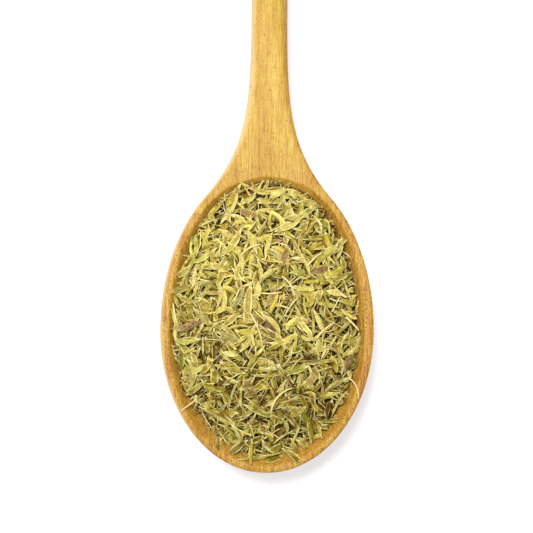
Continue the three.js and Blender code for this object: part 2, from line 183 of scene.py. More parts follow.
def tube(loops: Array, first: Array, last: Array) -> Shell:
    """A closed shell from loops of corners and its two end corners.

    Args:
        loops: Corners as an array of loops, corners and x, y, z.
        first: The corner before the first loop.
        last: The corner after the last loop.

    Returns:
        The shell.
    """
    quads, triangles = loop_faces(*loops.shape[:2])
    return Shell(np.concatenate([first[None], loops.reshape(-1, 3), last[None]]), quads, triangles)


def install(piece: bpy.types.Object, slot: str, material: bpy.types.Material, *nodes: str) -> None:
    """Finishes a piece: gives it its material, lets it ride and says which nodes it stands for.

    Args:
        piece: The object.
        slot: The record's material slot; not used.
        material: What the piece is made of.
        *nodes: The solids that it replaces.
    """
    piece.data.materials.append(material)
    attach(piece, BODY)
    if nodes:
        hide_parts(*nodes)
    log.info("%s: %d faces", piece.name, len(piece.data.polygons))


# Shader nodes


class Signal:
    """A number that varies over a surface. Arithmetic with it adds Math nodes."""

    def __init__(self, graph: Graph, socket: Socket) -> None:
        """Wraps a socket of a graph."""
        self.graph = graph
        self.socket = socket

    def __add__(self, other: Input) -> Signal:
        """This number plus another."""
        return self.graph.maths("ADD", self, other)

    __radd__ = __add__

    def __mul__(self, other: Input) -> Signal:
        """This number times another."""
        return self.graph.maths("MULTIPLY", self, other)

    __rmul__ = __mul__

    def __sub__(self, other: Input) -> Signal:
        """This number less another."""
        return self.graph.maths("SUBTRACT", self, other)

    def __rsub__(self, other: Input) -> Signal:
        """Another number less this one."""
        return self.graph.maths("SUBTRACT", other, self)

    def __truediv__(self, other: Input) -> Signal:
        """This number divided by another."""
        return self.graph.maths("DIVIDE", self, other)

    def __pow__(self, other: Input) -> Signal:
        """This number to the power of another."""
        return self.graph.maths("POWER", self, other)

    def __abs__(self) -> Signal:
        """This number without its sign."""
        return self.graph.maths("ABSOLUTE", self)

    def fract(self) -> Signal:
        """What is over the next lower whole number."""
        return self.graph.maths("FRACT", self)

    def highest(self, other: Input) -> Signal:
        """The higher of this number and another."""
        return self.graph.maths("MAXIMUM", self, other)

    def rise(self, low: float, high: float) -> Signal:
        """Goes from 0 where this number is low to 1 where it is high, level at both ends."""
        limits = {"From Min": low, "From Max": high, "Value": self}
        node = self.graph.node("ShaderNodeMapRange", {"interpolation_type": "SMOOTHSTEP"}, limits)
        return Signal(self.graph, node.outputs["Result"])


class Graph:
    """The nodes of one material, around one Principled shader."""

    def __init__(self, name: str) -> None:
        """Starts a material with a Principled shader on its output."""
        self.material = bpy.data.materials.new(name)
        self.material.use_nodes = True
        self.tree = self.material.node_tree
        self.tree.nodes.clear()
        self.shader = self.tree.nodes.new("ShaderNodeBsdfPrincipled")
        output = self.tree.nodes.new("ShaderNodeOutputMaterial")
        self.tree.links.new(self.shader.outputs["BSDF"], output.inputs["Surface"])

    def set(self, sockets: bpy.types.bpy_prop_collection, key: str | int, value: Input) -> None:
        """Links or sets one input of a node, which sockets are."""
        if isinstance(value, Signal):
            value = value.socket
        if isinstance(value, Socket):
            self.tree.links.new(value, sockets[key])
        elif isinstance(value, tuple) and len(value) == 3 and sockets[key].type == "RGBA":
            sockets[key].default_value = (*value, 1.0)
        else:
            sockets[key].default_value = value

    def node(
        self,
        kind: str,
        settings: Mapping[str, object] | None = None,
        inputs: Mapping[str | int, Input] | None = None,
    ) -> bpy.types.Node:
        """Adds a node.

        Args:
            kind: Blender's name of the node's type.
            settings: What is set on the node itself. Stops are a colour ramp's places and colours.
            inputs: What its sockets are linked or set to, by their names or numbers.

        Returns:
            The node.
        """
        node = self.tree.nodes.new(kind)
        for key, value in (settings or {}).items():
            if key == "stops":
                elements = node.color_ramp.elements
                while len(elements) < len(value):
                    elements.new(1.0)
                for element, (place, colour) in zip(elements, value, strict=True):
                    element.position = place
                    element.color = (*colour, 1.0)
            else:
                setattr(node, key, value)
        for key, value in (inputs or {}).items():
            self.set(node.inputs, key, value)
        return node

    def maths(self, operation: str, *values: Input) -> Signal:
        """A Math node on one or two numbers."""
        node = self.node("ShaderNodeMath", {"operation": operation}, dict(enumerate(values)))
        return Signal(self, node.outputs[0])

    def place(self) -> Socket:
        """The place on the object, in metres."""
        return self.node("ShaderNodeTexCoord").outputs["Object"]

    def tint(self) -> Socket:
        """The colours that the mesh holds at its corners."""
        return self.node("ShaderNodeAttribute", {"attribute_name": TINT}).outputs["Color"]

    def own_map(self) -> Socket:
        """The place along and across a leaf or a stalk, from 0 to 1."""
        return self.node("ShaderNodeUVMap", {"uv_map": LEAF_MAP}).outputs[0]

    def ramp(self, value: Signal, *stops: tuple[float, Colour]) -> Socket:
        """The colour at a value between stops, each a value and its colour."""
        return self.node("ShaderNodeValToRGB", {"stops": stops}, {0: value}).outputs[0]

    def parts(self, vector: Socket) -> tuple[Signal, Signal, Signal]:
        """A vector's three numbers."""
        node = self.node("ShaderNodeSeparateXYZ", inputs={0: vector})
        return tuple(Signal(self, socket) for socket in node.outputs)

    def stretched(self, vector: Socket, per_metre: Sequence[float]) -> Socket:
        """A place in cells of a pattern that has so many cells a metre each way."""
        return self.node("ShaderNodeMapping", inputs={"Vector": vector, "Scale": per_metre}).outputs[0]

    def noise(self, vector: Socket, per_metre: Sequence[float], detail: float = 2.0) -> Signal:
        """Soft noise from 0 to 1, with a mean of a half."""
        inputs = {"Vector": self.stretched(vector, per_metre), "Scale": 1.0, "Detail": detail}
        return Signal(self, self.node("ShaderNodeTexNoise", inputs=inputs).outputs[0])

    def cells(self, vector: Socket, per_metre: Sequence[float]) -> Signal:
        """The distance to the nearest of scattered points, in cells."""
        inputs = {"Vector": self.stretched(vector, per_metre), "Scale": 1.0}
        return Signal(self, self.node("ShaderNodeTexVoronoi", inputs=inputs).outputs["Distance"])

    def blend(self, factor: Input, start: Input, end: Input, way: str = "MIX") -> Socket:
        """Mixes two colours, or multiplies the start by the end as far as the factor says."""
        settings = {"data_type": "RGBA", "blend_type": way}
        node = self.node("ShaderNodeMix", settings, {"Factor": factor, 6: start, 7: end})
        return node.outputs[2]

    def bump(self, height: Signal, depth: float, strength: float) -> Socket:
        """A normal bent by a height of 0 to 1 that stands for so many metres."""
        inputs = {"Height": height, "Distance": depth, "Strength": strength}
        return self.node("ShaderNodeBump", inputs=inputs).outputs["Normal"]

    def finish(self, **inputs: Input) -> bpy.types.Material:
        """Sets the shader's inputs and gives the material. An input's spaces are written as _."""
        for key, value in inputs.items():
            self.set(self.shader.inputs, key.replace("_", " "), value)
        return self.material


# Finishes


@dataclass(frozen=True)
class HoneyWood:
    """Oiled honey-coloured wood, with growth rings, fibres and pores that run along the spoon.

    The spoon's tint holds how deep in the hollow a place is, up to a half, where the wall is mixed
    towards a lighter colour as painted light; then how much dust and painted shade lie by the heap's foot
    at the neck, with painted shade alone on the right wall; and how near it is to an outer edge with
    painted shade, on the right, at the tip and underneath, or with painted light, on the left.
    """

    light: Colour = srgb(202, 174, 80)
    honey: Colour = srgb(197, 163, 62)
    amber: Colour = srgb(190, 152, 51)
    rosy: Colour = srgb(206, 160, 74)
    ring: Colour = srgb(232, 202, 156)
    fibre: Colour = srgb(228, 206, 158)
    speck: Colour = srgb(206, 178, 132)
    # The lighter colour that the hollow's wall is mixed towards: painted light.
    shaded: Colour = srgb(230, 190, 96)
    # Dust and painted shade by the heap's foot at the neck, and painted shade alone on the right wall.
    dust_and_shade: Colour = srgb(160, 112, 86)
    figure: Colour = srgb(196, 160, 112)
    mark: Colour = srgb(190, 142, 88)
    # Painted shade on the outer edges on the right, at the tip and underneath, and painted light on the
    # left.
    edge: Colour = srgb(216, 184, 140)
    painted_edge_light: Colour = srgb(216, 188, 136)
    # The bowl is multiplied by this colour, a little darker than the handle.
    on_bowl: Colour = srgb(246, 239, 230)
    pore: Colour = srgb(84, 52, 20)
    fleck: Colour = srgb(150, 84, 44)
    handle_from: tuple[float, float] = (-0.066, -0.036)
    low_rim: tuple[float, float] = (-0.116, -0.098)
    low_rim_marks: float = 0.35
    ring_width: float = 0.0026
    heart: tuple[float, float] = (0.011, -0.05)
    ring_slope: float = 0.03
    ring_drift: float = 0.014
    rim_pores_x: float = 0.02535
    rim_pores_y: tuple[float, float] = (-0.0912, -0.0788)
    rim_pores_fade: float = 0.0004
    rim_pore_pitch: float = 0.00115
    rim_pore_size: tuple[float, float] = (0.0002, 0.00026)
    rim_pore_wander: float = 0.0009
    flecks: tuple[tuple[float, float], ...] = ((0.0098, -0.0512), (0.0121, -0.0526), (0.0108, -0.0519))
    fleck_size: tuple[float, float] = (0.00045, 0.0009)

    def make(self) -> bpy.types.Material:
        """Builds the material.

        Rings are the distance to the tree's heart, a line along the spoon deep under it, bent by slow
        noise. Streaks and fibres are noise drawn out along the grain. Pores are small cells.

        Returns:
            The material.
        """
        graph = Graph("honey_wood")
        place = graph.place()
        x, y, z = graph.parts(place)
        hollow, edge, painted_edge_light = graph.parts(graph.tint())
        colour = self.streaks(graph, place)
        colour = graph.blend(self.rings(graph, x, y, z, place) * 0.65, colour, self.ring, "MULTIPLY")
        # The bowl is a little darker than the handle, and its fibres, dashes and grains show more.
        on_bowl = 1.0 - y.rise(*self.handle_from)
        fibres = graph.noise(place, (2300, 26, 2300), 2.0)
        dashes = graph.noise(place, (4200, 420, 4200), 2.0)
        grains = graph.noise(place, (5200, 2100, 5200), 1.0)
        colour = graph.blend(fibres.rise(0.46, 0.6) * (0.6 + 0.3 * on_bowl), colour, self.fibre, "MULTIPLY")
        colour = graph.blend(dashes.rise(0.5, 0.66) * (0.5 + 0.5 * on_bowl), colour, self.fibre, "MULTIPLY")
        colour = graph.blend(grains.rise(0.52, 0.66) * (0.4 + 0.6 * on_bowl), colour, self.speck, "MULTIPLY")
        colour = self.hollowed(graph, y, place, colour, hollow, edge)
        # Painted shade on the right, tip and under edges; painted light on the left edges.
        colour = graph.blend(edge * 0.8, colour, self.edge, "MULTIPLY")
        colour = graph.blend(painted_edge_light * 0.8, colour, self.painted_edge_light)
        colour = graph.blend(on_bowl, colour, self.on_bowl, "MULTIPLY")
        spots = self.pores(graph, place).highest(self.rim_pores(graph, x, y, place))
        colour = graph.blend(self.fleck_marks(graph, x, y, place) * 0.6, colour, self.fleck)
        colour = graph.blend(spots * 0.75, colour, self.pore)
        relief = fibres * 0.4 + dashes * 0.6 - spots
        return graph.finish(
            Base_Color=colour,
            Roughness=0.48 + dashes * 0.2,
            Normal=graph.bump(relief, 0.0002, 0.35),
            IOR=1.42,
        )

    def hollowed(
        self, graph: Graph, y: Signal, place: Socket, colour: Socket, hollow: Signal, edge: Signal
    ) -> Socket:
        """Adds the hollow's wall, mixed lighter as painted light, dust and painted shade by the heap's
        foot and on the right wall, and short dark marks where the wood is cut across.

        Args:
            graph: The material's graph.
            y: The place along the spoon.
            place: The place on the spoon.
            colour: The wood's colour.
            hollow: How deep in the hollow the place is, up to a half, then how much dust and painted
                shade.
            edge: How near it is to an edge with painted shade.

        Returns:
            The colour with them.
        """
        wall, dust_and_shade = hollow.rise(0.0, 0.5), hollow.rise(0.5, 1.0)
        # Painted light: the hollow's wall is mixed towards a lighter wood colour, lifting its shade.
        colour = graph.blend(wall * 0.32, colour, self.shaded)
        specks = graph.noise(place, (1900, 1900, 1900), 3.0).rise(0.4, 0.56)
        # Dust and painted shade: dark specks by the heap's foot at the neck; on the right wall painted
        # shade.
        colour = graph.blend(dust_and_shade * (0.2 + 0.8 * specks), colour, self.dust_and_shade, "MULTIPLY")
        low = self.low_rim_marks - self.low_rim_marks * y.rise(*self.low_rim)
        cut = wall.highest(edge * 0.5).highest(low)
        figure = graph.noise(place, (900, 330, 900), 3.0).rise(0.44, 0.62)
        colour = graph.blend(cut * figure * 0.4, colour, self.figure, "MULTIPLY")
        marks = graph.noise(place, (2600, 600, 2600), 2.0).rise(0.52, 0.6)
        return graph.blend(cut * marks * 0.8, colour, self.mark, "MULTIPLY")

    def streaks(self, graph: Graph, place: Socket) -> Socket:
        """Broad streaks of amber, honey and light wood, some of them rosy."""
        bands = graph.noise(place, (170, 3, 170), 2.0)
        fine = graph.noise(place, (760, 7, 760), 2.0)
        cloud = graph.noise(place, (60, 40, 60), 1.0)
        tone = bands * 0.2 + fine * 1.0 + cloud * 0.2
        colour = graph.ramp(tone, (0.5, self.amber), (0.7, self.honey), (0.9, self.light))
        warm = graph.noise(place, (330, 4, 300), 2.0).rise(0.48, 0.6)
        return graph.blend(warm * fine.rise(0.35, 0.6) * 0.3, colour, self.rosy)

    def rings(self, graph: Graph, x: Signal, y: Signal, z: Signal, place: Socket) -> Signal:
        """The thin dark late wood of each growth ring, which fades in and out along the grain."""
        heart_x, heart_z = self.heart
        drift = graph.noise(place, (46, 9, 46), 2.0)
        radius = ((x - heart_x) ** 2.0 + (z - heart_z) ** 2.0) ** 0.5
        ring = ((radius + y * self.ring_slope + drift * self.ring_drift) / self.ring_width).fract()
        late_wood = ring.rise(0.62, 0.95) * (1.0 - ring.rise(0.95, 1.0))
        return late_wood * graph.noise(place, (300, 20, 300), 2.0).rise(0.36, 0.58)

    def pores(self, graph: Graph, place: Socket) -> Signal:
        """Fine open pores: short dashes along the grain, in loose clusters, and fewer round ones."""
        dashes = 1.0 - graph.cells(place, (1500, 420, 1500)).rise(0.09, 0.17)
        dots = 1.0 - graph.cells(place, (640, 520, 640)).rise(0.07, 0.14)
        here = graph.noise(place, (150, 50, 150), 1.0).rise(0.47, 0.58)
        return (dashes * here).highest(dots * 0.8 * (1.0 - here))

    def rim_pores(self, graph: Graph, x: Signal, y: Signal, place: Socket) -> Signal:
        """The row of open pores along the right rim, unevenly deep."""
        low, high = self.rim_pores_y
        width, length = self.rim_pore_size
        wander = graph.noise(place, (420, 420, 420), 1.0) * self.rim_pore_wander
        off_line = (x - self.rim_pores_x + wander) / width
        along = (((y + wander) / self.rim_pore_pitch).fract() - 0.5) * (self.rim_pore_pitch / length)
        dots = 1.0 - (off_line**2.0 + along**2.0).rise(0.3, 1.3)
        depth = graph.noise(place, (900, 900, 900), 0.0).rise(0.3, 0.6)
        fade_in = y.rise(low, low + self.rim_pores_fade)
        fade_out = 1.0 - y.rise(high - self.rim_pores_fade, high)
        return dots * depth * fade_in * fade_out

    def fleck_marks(self, graph: Graph, x: Signal, y: Signal, place: Socket) -> Signal:
        """Small reddish flecks on the shoulder."""
        width, length = self.fleck_size
        ragged = graph.noise(place, (2200, 700, 2200), 2.0) * 1.6
        marks: Signal | None = None
        for fleck_x, fleck_y in self.flecks:
            near = ((x - fleck_x) / width) ** 2.0 + ((y - fleck_y) / length) ** 2.0
            mark = 1.0 - (near + ragged).rise(0.6, 1.8)
            marks = mark if marks is None else marks.highest(mark)
        return marks


@dataclass(frozen=True)
class DriedLeaf:
    """A dry leaf: its own colour, paler margins and rib, mottled, with fine grain and faint veins."""

    name: str
    pale: Colour
    deep: Colour = srgb(120, 98, 44)
    grain_tint: Colour = srgb(122, 96, 34)
    margin: float = 0.75
    rib: float = 0.25
    grain: float = 0.6
    roughness: float = 0.62

    def make(self) -> bpy.types.Material:
        """Builds the material. Margins and rib are read from the leaf's own map, across it. The middle is
        painted darker as shade, most of all on leaves face down, and the margins are lighter, partly as
        painted highlight.

        Returns:
            The material.
        """
        graph = Graph(self.name)
        place = graph.place()
        own, own_map = graph.tint(), graph.own_map()
        along, across, _ = graph.parts(own_map)
        face_down = along.rise(1.4, 1.6)
        off_rib = abs(across - 0.5) * 2.0
        grain = graph.noise(place, (2600, 2600, 2600), 3.0)
        mottle = graph.noise(place, (620, 620, 620), 2.0)
        veins = graph.noise(own_map, (2.5, 11, 1), 2.0)
        shade = (grain * 0.4 + mottle * 0.3 + veins * 0.3).rise(0.36, 0.6)
        shaded = graph.blend(self.grain, own, self.grain_tint, "MULTIPLY")
        colour = graph.blend(shade, shaded, own)
        # Painted shade: the leaf's middle is darker, most of all on leaves that lie face down.
        inner = (1.0 - off_rib.rise(0.35, 0.85)) * (0.12 + 0.3 * face_down)
        colour = graph.blend(inner, colour, self.deep, "MULTIPLY")
        rib = (1.0 - off_rib.rise(0.02, 0.16)) * self.rib
        # The margins are lighter, partly as painted highlight and partly as their own paler tissue.
        light = (off_rib.rise(0.78, 0.95) * self.margin).highest(rib) * mottle.rise(0.4, 0.58)
        stem = 1.0 - (along - 2.0 * face_down).rise(0.05, 0.24)
        light = light.highest(stem * 0.7)
        colour = graph.blend(light, colour, self.pale)
        relief = grain * 0.7 + mottle * 0.3
        return graph.finish(
            Base_Color=colour,
            Roughness=self.roughness + 0.16 * grain,
            Normal=graph.bump(relief, 0.0002, 0.6),
            Specular_IOR_Level=0.04,
        )


@dataclass(frozen=True)
class DryStalk:
    """A pale dry stalk with fine lengthwise fibres."""

    name: str = "dry_stalk"
    fibre_tint: Colour = srgb(150, 110, 60)

    def make(self) -> bpy.types.Material:
        """Builds the material. Fibres are noise drawn out along the piece's own map.

        Returns:
            The material.
        """
        graph = Graph(self.name)
        own, own_map = graph.tint(), graph.own_map()
        fibres = graph.noise(own_map, (3, 22, 1), 3.0)
        spots = graph.noise(graph.place(), (1400, 1400, 1400), 2.0)
        dark = graph.blend(0.6, own, self.fibre_tint, "MULTIPLY")
        colour = graph.blend((fibres * 0.6 + spots * 0.4).rise(0.3, 0.6), dark, own)
        relief = graph.bump(fibres, 0.0001, 0.4)
        return graph.finish(
            Base_Color=colour, Roughness=0.5 + 0.2 * spots, Normal=relief, Specular_IOR_Level=0.1
        )


@dataclass(frozen=True)
class CrumbsInPaintedShade:
    """The broken leaf deep in the heap, seen only in the gaps, painted near black as the shade there."""

    black: Colour = srgb(30, 16, 6)
    brown: Colour = srgb(74, 50, 16)
    olive: Colour = srgb(112, 88, 26)

    def make(self) -> bpy.types.Material:
        """Builds the material: two sizes of crumbs over near black, which is painted shade.

        Returns:
            The material.
        """
        graph = Graph("crumbs_in_painted_shade")
        place = graph.place()
        crumbs = graph.cells(place, (900, 900, 900))
        tones = graph.noise(place, (700, 700, 700), 3.0)
        colour = graph.ramp(tones, (0.3, self.black), (0.55, self.brown), (0.75, self.olive))
        relief = graph.bump(1.0 - crumbs, 0.0006, 0.9)
        return graph.finish(Base_Color=colour, Roughness=0.85, Normal=relief, Specular_IOR_Level=0.0)


# The spoon


@dataclass
class Spoon:
    """The spoon: bowl, neck and handle in one piece. Sizes in millimetres.

    The fields from neck_band to handle_edge belong to the tint, and those after them to the mesh.
    """

    length: float = 250.0
    bowl_half_width: float = 26.75
    tip_length: float = 35.6
    shoulder_length: float = 41.25
    shoulder_reach: float = 32.9
    neck_length: float = 52.7
    neck_pulls: tuple[float, float] = (13.5, 28.4)
    handle_half_width: float = 4.55
    handle_end_half_width: float = 5.3
    rim_top: float = 19.6
    bowl_thickness: float = 19.95
    handle_thickness: float = 8.4
    foot_cut: float = 0.15
    rim_edge: float = 1.5
    keel_length: float = 64.0
    rim_power: float = 10.0
    keel_power: float = 2.1
    handle_power: float = 2.4
    hollow_half_width: float = 24.4
    hollow_tip_length: float = 33.4
    hollow_neck_length: float = 38.3
    hollow_depth: float = 15.0
    hollow_power: float = 2.8
    outline_power: float = 2.15
    lip_softness: float = 1.0
    lip_crispness: float = 0.35
    carving: float = 0.09
    lip_wander: float = 0.004
    tip_wear: float = 0.018
    neck_band: tuple[float, float] = (14.0, 34.0)
    wall_depths: tuple[float, float] = (0.3, 2.2)
    dust_and_shade_depths: tuple[float, float] = (0.6, 1.9)
    right_wall_shade: float = 0.55
    right_wall_shade_y: tuple[float, float] = (-108.0, -98.0)
    handle_edges_y: tuple[float, float] = (-60.0, -30.0)
    tip_edge_y: tuple[float, float] = (-121.0, -110.0)
    right_side: tuple[float, float] = (-0.5, 0.5)
    right_wall: tuple[float, float] = (0.3, 0.7)
    right_edge_shade: tuple[float, float] = (0.25, 0.7)
    bowl_edge: tuple[float, float] = (0.1, 0.9)
    handle_edge: tuple[float, float] = (0.3, 2.0)
    fine_rows: tuple[float, float] = (-9.0, 2.5)
    fine_step: float = 0.22
    bowl_step: float = 0.7
    handle_step: float = 1.2
    tip_rows: int = 112
    cap_rows: int = 16
    edge_columns: int = 14
    wall_columns: int = 24
    wall_power: float = 1.6
    under_columns: int = 22
    least_lip: float = 0.3

    def __post_init__(self) -> None:
        """Works out the places along the spoon that follow from its sizes."""
        self.tip_y = -self.length / 2
        self.end_y = self.length / 2
        self.bowl_y = self.tip_y + self.tip_length
        self.neck_y = self.bowl_y + self.shoulder_reach
        self.handle_y = self.neck_y + self.neck_length
        self.cap_y = self.end_y - self.handle_end_half_width
        fall = self.rim_top - self.handle_thickness + self.foot_cut
        self.top_slope = fall / (self.cap_y - self.bowl_y)

    def neck_curve(self) -> tuple[Array, Array]:
        """The neck's outline as places along the spoon and half widths: one cubic curve."""
        reach = self.shoulder_reach / self.shoulder_length
        share = math.sqrt(1 - reach**2)
        slope = -(self.bowl_half_width / self.shoulder_length) * (reach / share)
        shoulder = self.bowl_half_width * share
        pull_bowl, pull_handle = self.neck_pulls
        corners = np.array(
            [
                (self.neck_y, shoulder),
                (self.neck_y + pull_bowl, shoulder + slope * pull_bowl),
                (self.handle_y - pull_handle, self.handle_half_width),
                (self.handle_y, self.handle_half_width),
            ]
        )
        t = np.linspace(0, 1, 400)[:, None]
        weights = np.hstack([(1 - t) ** 3, 3 * t * (1 - t) ** 2, 3 * t**2 * (1 - t), t**3])
        curve = weights @ corners
        return curve[:, 0], curve[:, 1]

    def half_width(self, y: Array) -> Array:
        """Half the width at y: two half ellipses, the neck's curve, then the widening handle."""
        reach = np.where(y < self.bowl_y, self.tip_length, self.shoulder_length)
        bowl = self.bowl_half_width * np.sqrt(np.clip(1 - ((y - self.bowl_y) / reach) ** 2, 0, 1))
        widening = smooth(y, self.handle_y, self.cap_y)
        handle = mix(self.handle_half_width, self.handle_end_half_width, widening)
        neck = np.interp(y, *self.neck_curve())
        return np.select([y < self.neck_y, y < self.handle_y], [bowl, neck], handle)

    def rim_height(self, y: Array) -> Array:
        """The straight line that the rim and the handle's top share in the side view."""
        return self.rim_top - self.top_slope * (y - self.bowl_y)

    def outside(self, y: Array, across: Array, top: bool) -> tuple[Array, Array]:
        """The spoon's outside, each section a superellipse on the widest line.

        Args:
            y: Places along the spoon.
            across: Shares of the half width, from -1 to 1.
            top: True for the upper side, False for the underside.

        Returns:
            Places across and heights.
        """
        in_cap = np.clip((y - self.cap_y) / (self.end_y - self.cap_y), 0, 1)
        in_tip = np.clip((self.bowl_y - y) / self.tip_length, 0, 1)
        closing = np.maximum(in_cap, in_tip)
        width = self.half_width(y) * np.sqrt(1 - in_cap**2)
        reach = np.clip(np.sqrt(closing**2 + (1 - closing**2) * across**2), 0, 1)
        to_handle = smooth(y, self.neck_y, self.handle_y)
        along = np.clip((y - self.bowl_y) / self.keel_length, 0, 1)
        half_handle = self.handle_thickness / 2
        up = mix(self.rim_edge, half_handle, to_handle)
        down = mix(half_handle, self.bowl_thickness - self.rim_edge, (1 - along**2) ** 2)
        power = mix(self.rim_power if top else self.keel_power, self.handle_power, to_handle)
        bulge = (1 - reach**power) ** (1 / power)
        height = self.rim_height(y) - up + (up if top else -down) * bulge
        return width * across, np.maximum(0, height)

    def hollow_share(self, x: Array, y: Array) -> Array:
        """How far a place lies from the bowl's middle, as a share of the hollow's size."""
        reach = np.where(y < self.bowl_y, self.hollow_tip_length, self.hollow_neck_length)
        across = np.abs(x / self.hollow_half_width) ** self.outline_power
        along = np.abs((y - self.bowl_y) / reach) ** self.outline_power
        return (across + along) ** (1 / self.outline_power)

    def angle(self, x: Array, y: Array) -> Array:
        """The direction of a place from the bowl's middle, in radians, 0 to the right."""
        return np.arctan2(y - self.bowl_y, x * self.hollow_neck_length / self.hollow_half_width)

    def wall_height(self, x: Array, y: Array) -> Array:
        """The hollow's floor and wall, going on upwards past the rim: depth (1 - share^power).

        The lip wanders a little with the direction, it is worn wider at the tip, and the wall has
        shallow marks of carving.
        """
        turn = self.angle(x, y)
        wander = np.sin(3 * turn + 1.1) + 0.6 * np.sin(5 * turn + 0.3) + 0.4 * np.sin(11 * turn)
        at_tip = np.exp(-(((turn + np.pi / 2) / 0.3) ** 2))
        wider = self.lip_wander * wander - self.tip_wear * at_tip
        share = np.minimum(self.hollow_share(x, y) * (1 + wider), 2.0)
        marks = np.sin(23 * turn + 9 * share) * np.sin(17 * share + 4 * np.sin(2 * turn))
        depth = self.hollow_depth * (1 - share**self.hollow_power)
        return self.rim_height(y) - depth + self.carving * marks

    def at_neck(self, y: Array) -> Array:
        """How near a place is to the end of the hollow at the neck, from 0 to 1."""
        start, end = self.neck_band
        return smooth(y, self.bowl_y + start, self.bowl_y + end)

    def lip_round(self, y: Array) -> Array:
        """How softly the lip is rounded at y: it is crisper at the neck."""
        return mix(self.lip_softness, self.lip_crispness, self.at_neck(y))

    def top_height(self, x: Array, y: Array) -> Array:
        """The height of the upper side anywhere inside the outline."""
        across = np.clip(x / np.maximum(self.half_width(y), 1e-6), -1, 1)
        outside = self.outside(y, across, True)[1]
        return soft_minimum(outside, self.wall_height(x, y), self.lip_round(y))

    def rows(self) -> Array:
        """Where the sections stand: closest at both ends and where the hollow runs out."""
        quarter = np.pi / 2
        hollow_end = self.bowl_y + self.hollow_neck_length
        start, end = (hollow_end + off for off in self.fine_rows)
        stretches = [
            self.bowl_y + self.tip_length * np.sin(np.linspace(-quarter, 0, self.tip_rows)[1:-1]),
            np.arange(self.bowl_y, start, self.bowl_step),
            np.arange(start, end, self.fine_step),
            np.arange(end, self.cap_y - self.handle_step / 2, self.handle_step),
            self.cap_y + (self.end_y - self.cap_y) * np.sin(np.linspace(0, quarter, self.cap_rows)[:-1]),
        ]
        return np.concatenate(stretches)

    def tint(self, y: Array, across: Array, deep: Array) -> Array:
        """How the upper side's wood is coloured.

        Args:
            y: Places along the spoon.
            across: Shares of the half width, from -1 to 1.
            deep: How far under the outside a place lies, because of the hollow.

        Returns:
            For each place how deep in the hollow it is, up to a half, and then how much dust and painted
            shade it has, and how near it is to an edge with painted shade and to one with painted light.
        """
        # Dust and painted shade at the heap's foot by the neck; on the right wall the darkening is painted
        # shade.
        right_wall = smooth(across, *self.right_wall) * smooth(y, *self.right_wall_shade_y)
        dust_and_shade_share = smooth(deep, *self.dust_and_shade_depths) * np.maximum(self.at_neck(y), self.right_wall_shade * right_wall)
        to_handle = smooth(y, *self.handle_edges_y)
        off_edge = self.half_width(y) * (1 - np.abs(across))
        bounds = zip(self.bowl_edge, self.handle_edge, strict=True)
        at_edge = 1 - smooth(off_edge, *(mix(bowl, handle, to_handle) for bowl, handle in bounds))
        at_tip = 1 - smooth(y, *self.tip_edge_y)
        # Painted shade on the outer edge on the right and at the tip; painted light on the other outer
        # edges.
        right = smooth(across, *self.right_side)
        dark = at_edge * np.maximum(mix(*self.right_edge_shade, to_handle) * right, at_tip)
        painted_edge_light = at_edge * (1 - np.maximum(right, at_tip))
        return np.stack([0.5 * smooth(deep, *self.wall_depths) + 0.5 * dust_and_shade_share, dark, painted_edge_light], -1)

    def shell(self) -> Shell:
        """Works out the whole surface as sections along the spoon.

        Each section runs over the top from the right edge to the left one and back underneath. On
        top its corners keep to the lip, so that the lip stays crisp all round.

        Returns:
            The closed shell.
        """
        y = self.rows()[:, None]
        width = self.half_width(y)
        reach = np.where(y < self.bowl_y, self.hollow_tip_length, self.hollow_neck_length)
        open_share = np.clip(1 - np.abs((y - self.bowl_y) / reach) ** self.outline_power, 0, 1)
        lip = self.hollow_half_width * open_share ** (1 / self.outline_power)
        lip_share = np.maximum(lip / width, self.least_lip)
        to_edge = (1 - np.cos(np.pi * np.arange(self.edge_columns) / self.edge_columns)) / 2
        to_lip = (np.arange(self.wall_columns) / self.wall_columns) ** self.wall_power
        right = np.hstack([1 - (1 - lip_share) * to_edge, lip_share * (1 - to_lip)])
        across = np.hstack([right, np.zeros_like(y), -right[:, ::-1]])
        x, outside = self.outside(y, across, True)
        top = soft_minimum(outside, self.wall_height(x, y), self.lip_round(y))
        turns = np.linspace(-np.pi / 2, np.pi / 2, 2 * self.under_columns + 1)[1:-1]
        under_x, under = self.outside(y, np.sin(turns)[None, :], False)
        tint = self.tint(y, across, outside - top)
        # The underside takes the full edge tint, as do the two end corners below: painted shade.
        under_tint = np.broadcast_to([0.0, 1.0, 0.0], (*under.shape, 3))
        loops = np.stack(
            [
                np.hstack([x, under_x]),
                np.broadcast_to(y, (len(y), across.shape[1] + len(turns))),
                np.hstack([top, under]),
            ],
            axis=-1,
        )
        ends = np.array([self.tip_y, self.end_y])
        end_heights = self.outside(ends, np.zeros(2), True)[1]
        first, last = np.stack([np.zeros(2), ends, end_heights], -1)
        shell = tube(loops[:, ::-1], first, last)
        edge = np.array([[0.0, 1.0, 0.0]])
        tints = np.concatenate([tint, under_tint], axis=1)[:, ::-1]
        shell.colours = np.concatenate([edge, tints.reshape(-1, 3), edge])
        return shell


# Leaves and bits


# Bits of one tone differ in lightness, by a mean and a spread, and in red, green and blue, by a spread.
LIGHTNESS = (1.07, 0.14)
LIGHTNESS_LIMITS = (0.6, 1.3)
HUE_SPREAD = (0.03, 0.015, 0.08)
# Each takes up to this share of a second tone, and up to this much amber at its tip, mostly little.
SECOND_TONE = 0.35
AMBER_TIP = 0.8
AMBER_RARITY = 5
# A bit's sides are wider or narrower by chance within these limits.
RAGGED_LIMITS = (0.7, 1.3)
# The length in millimetres for which a kind gives its arch and its bend.
USUAL_LENGTH = 7


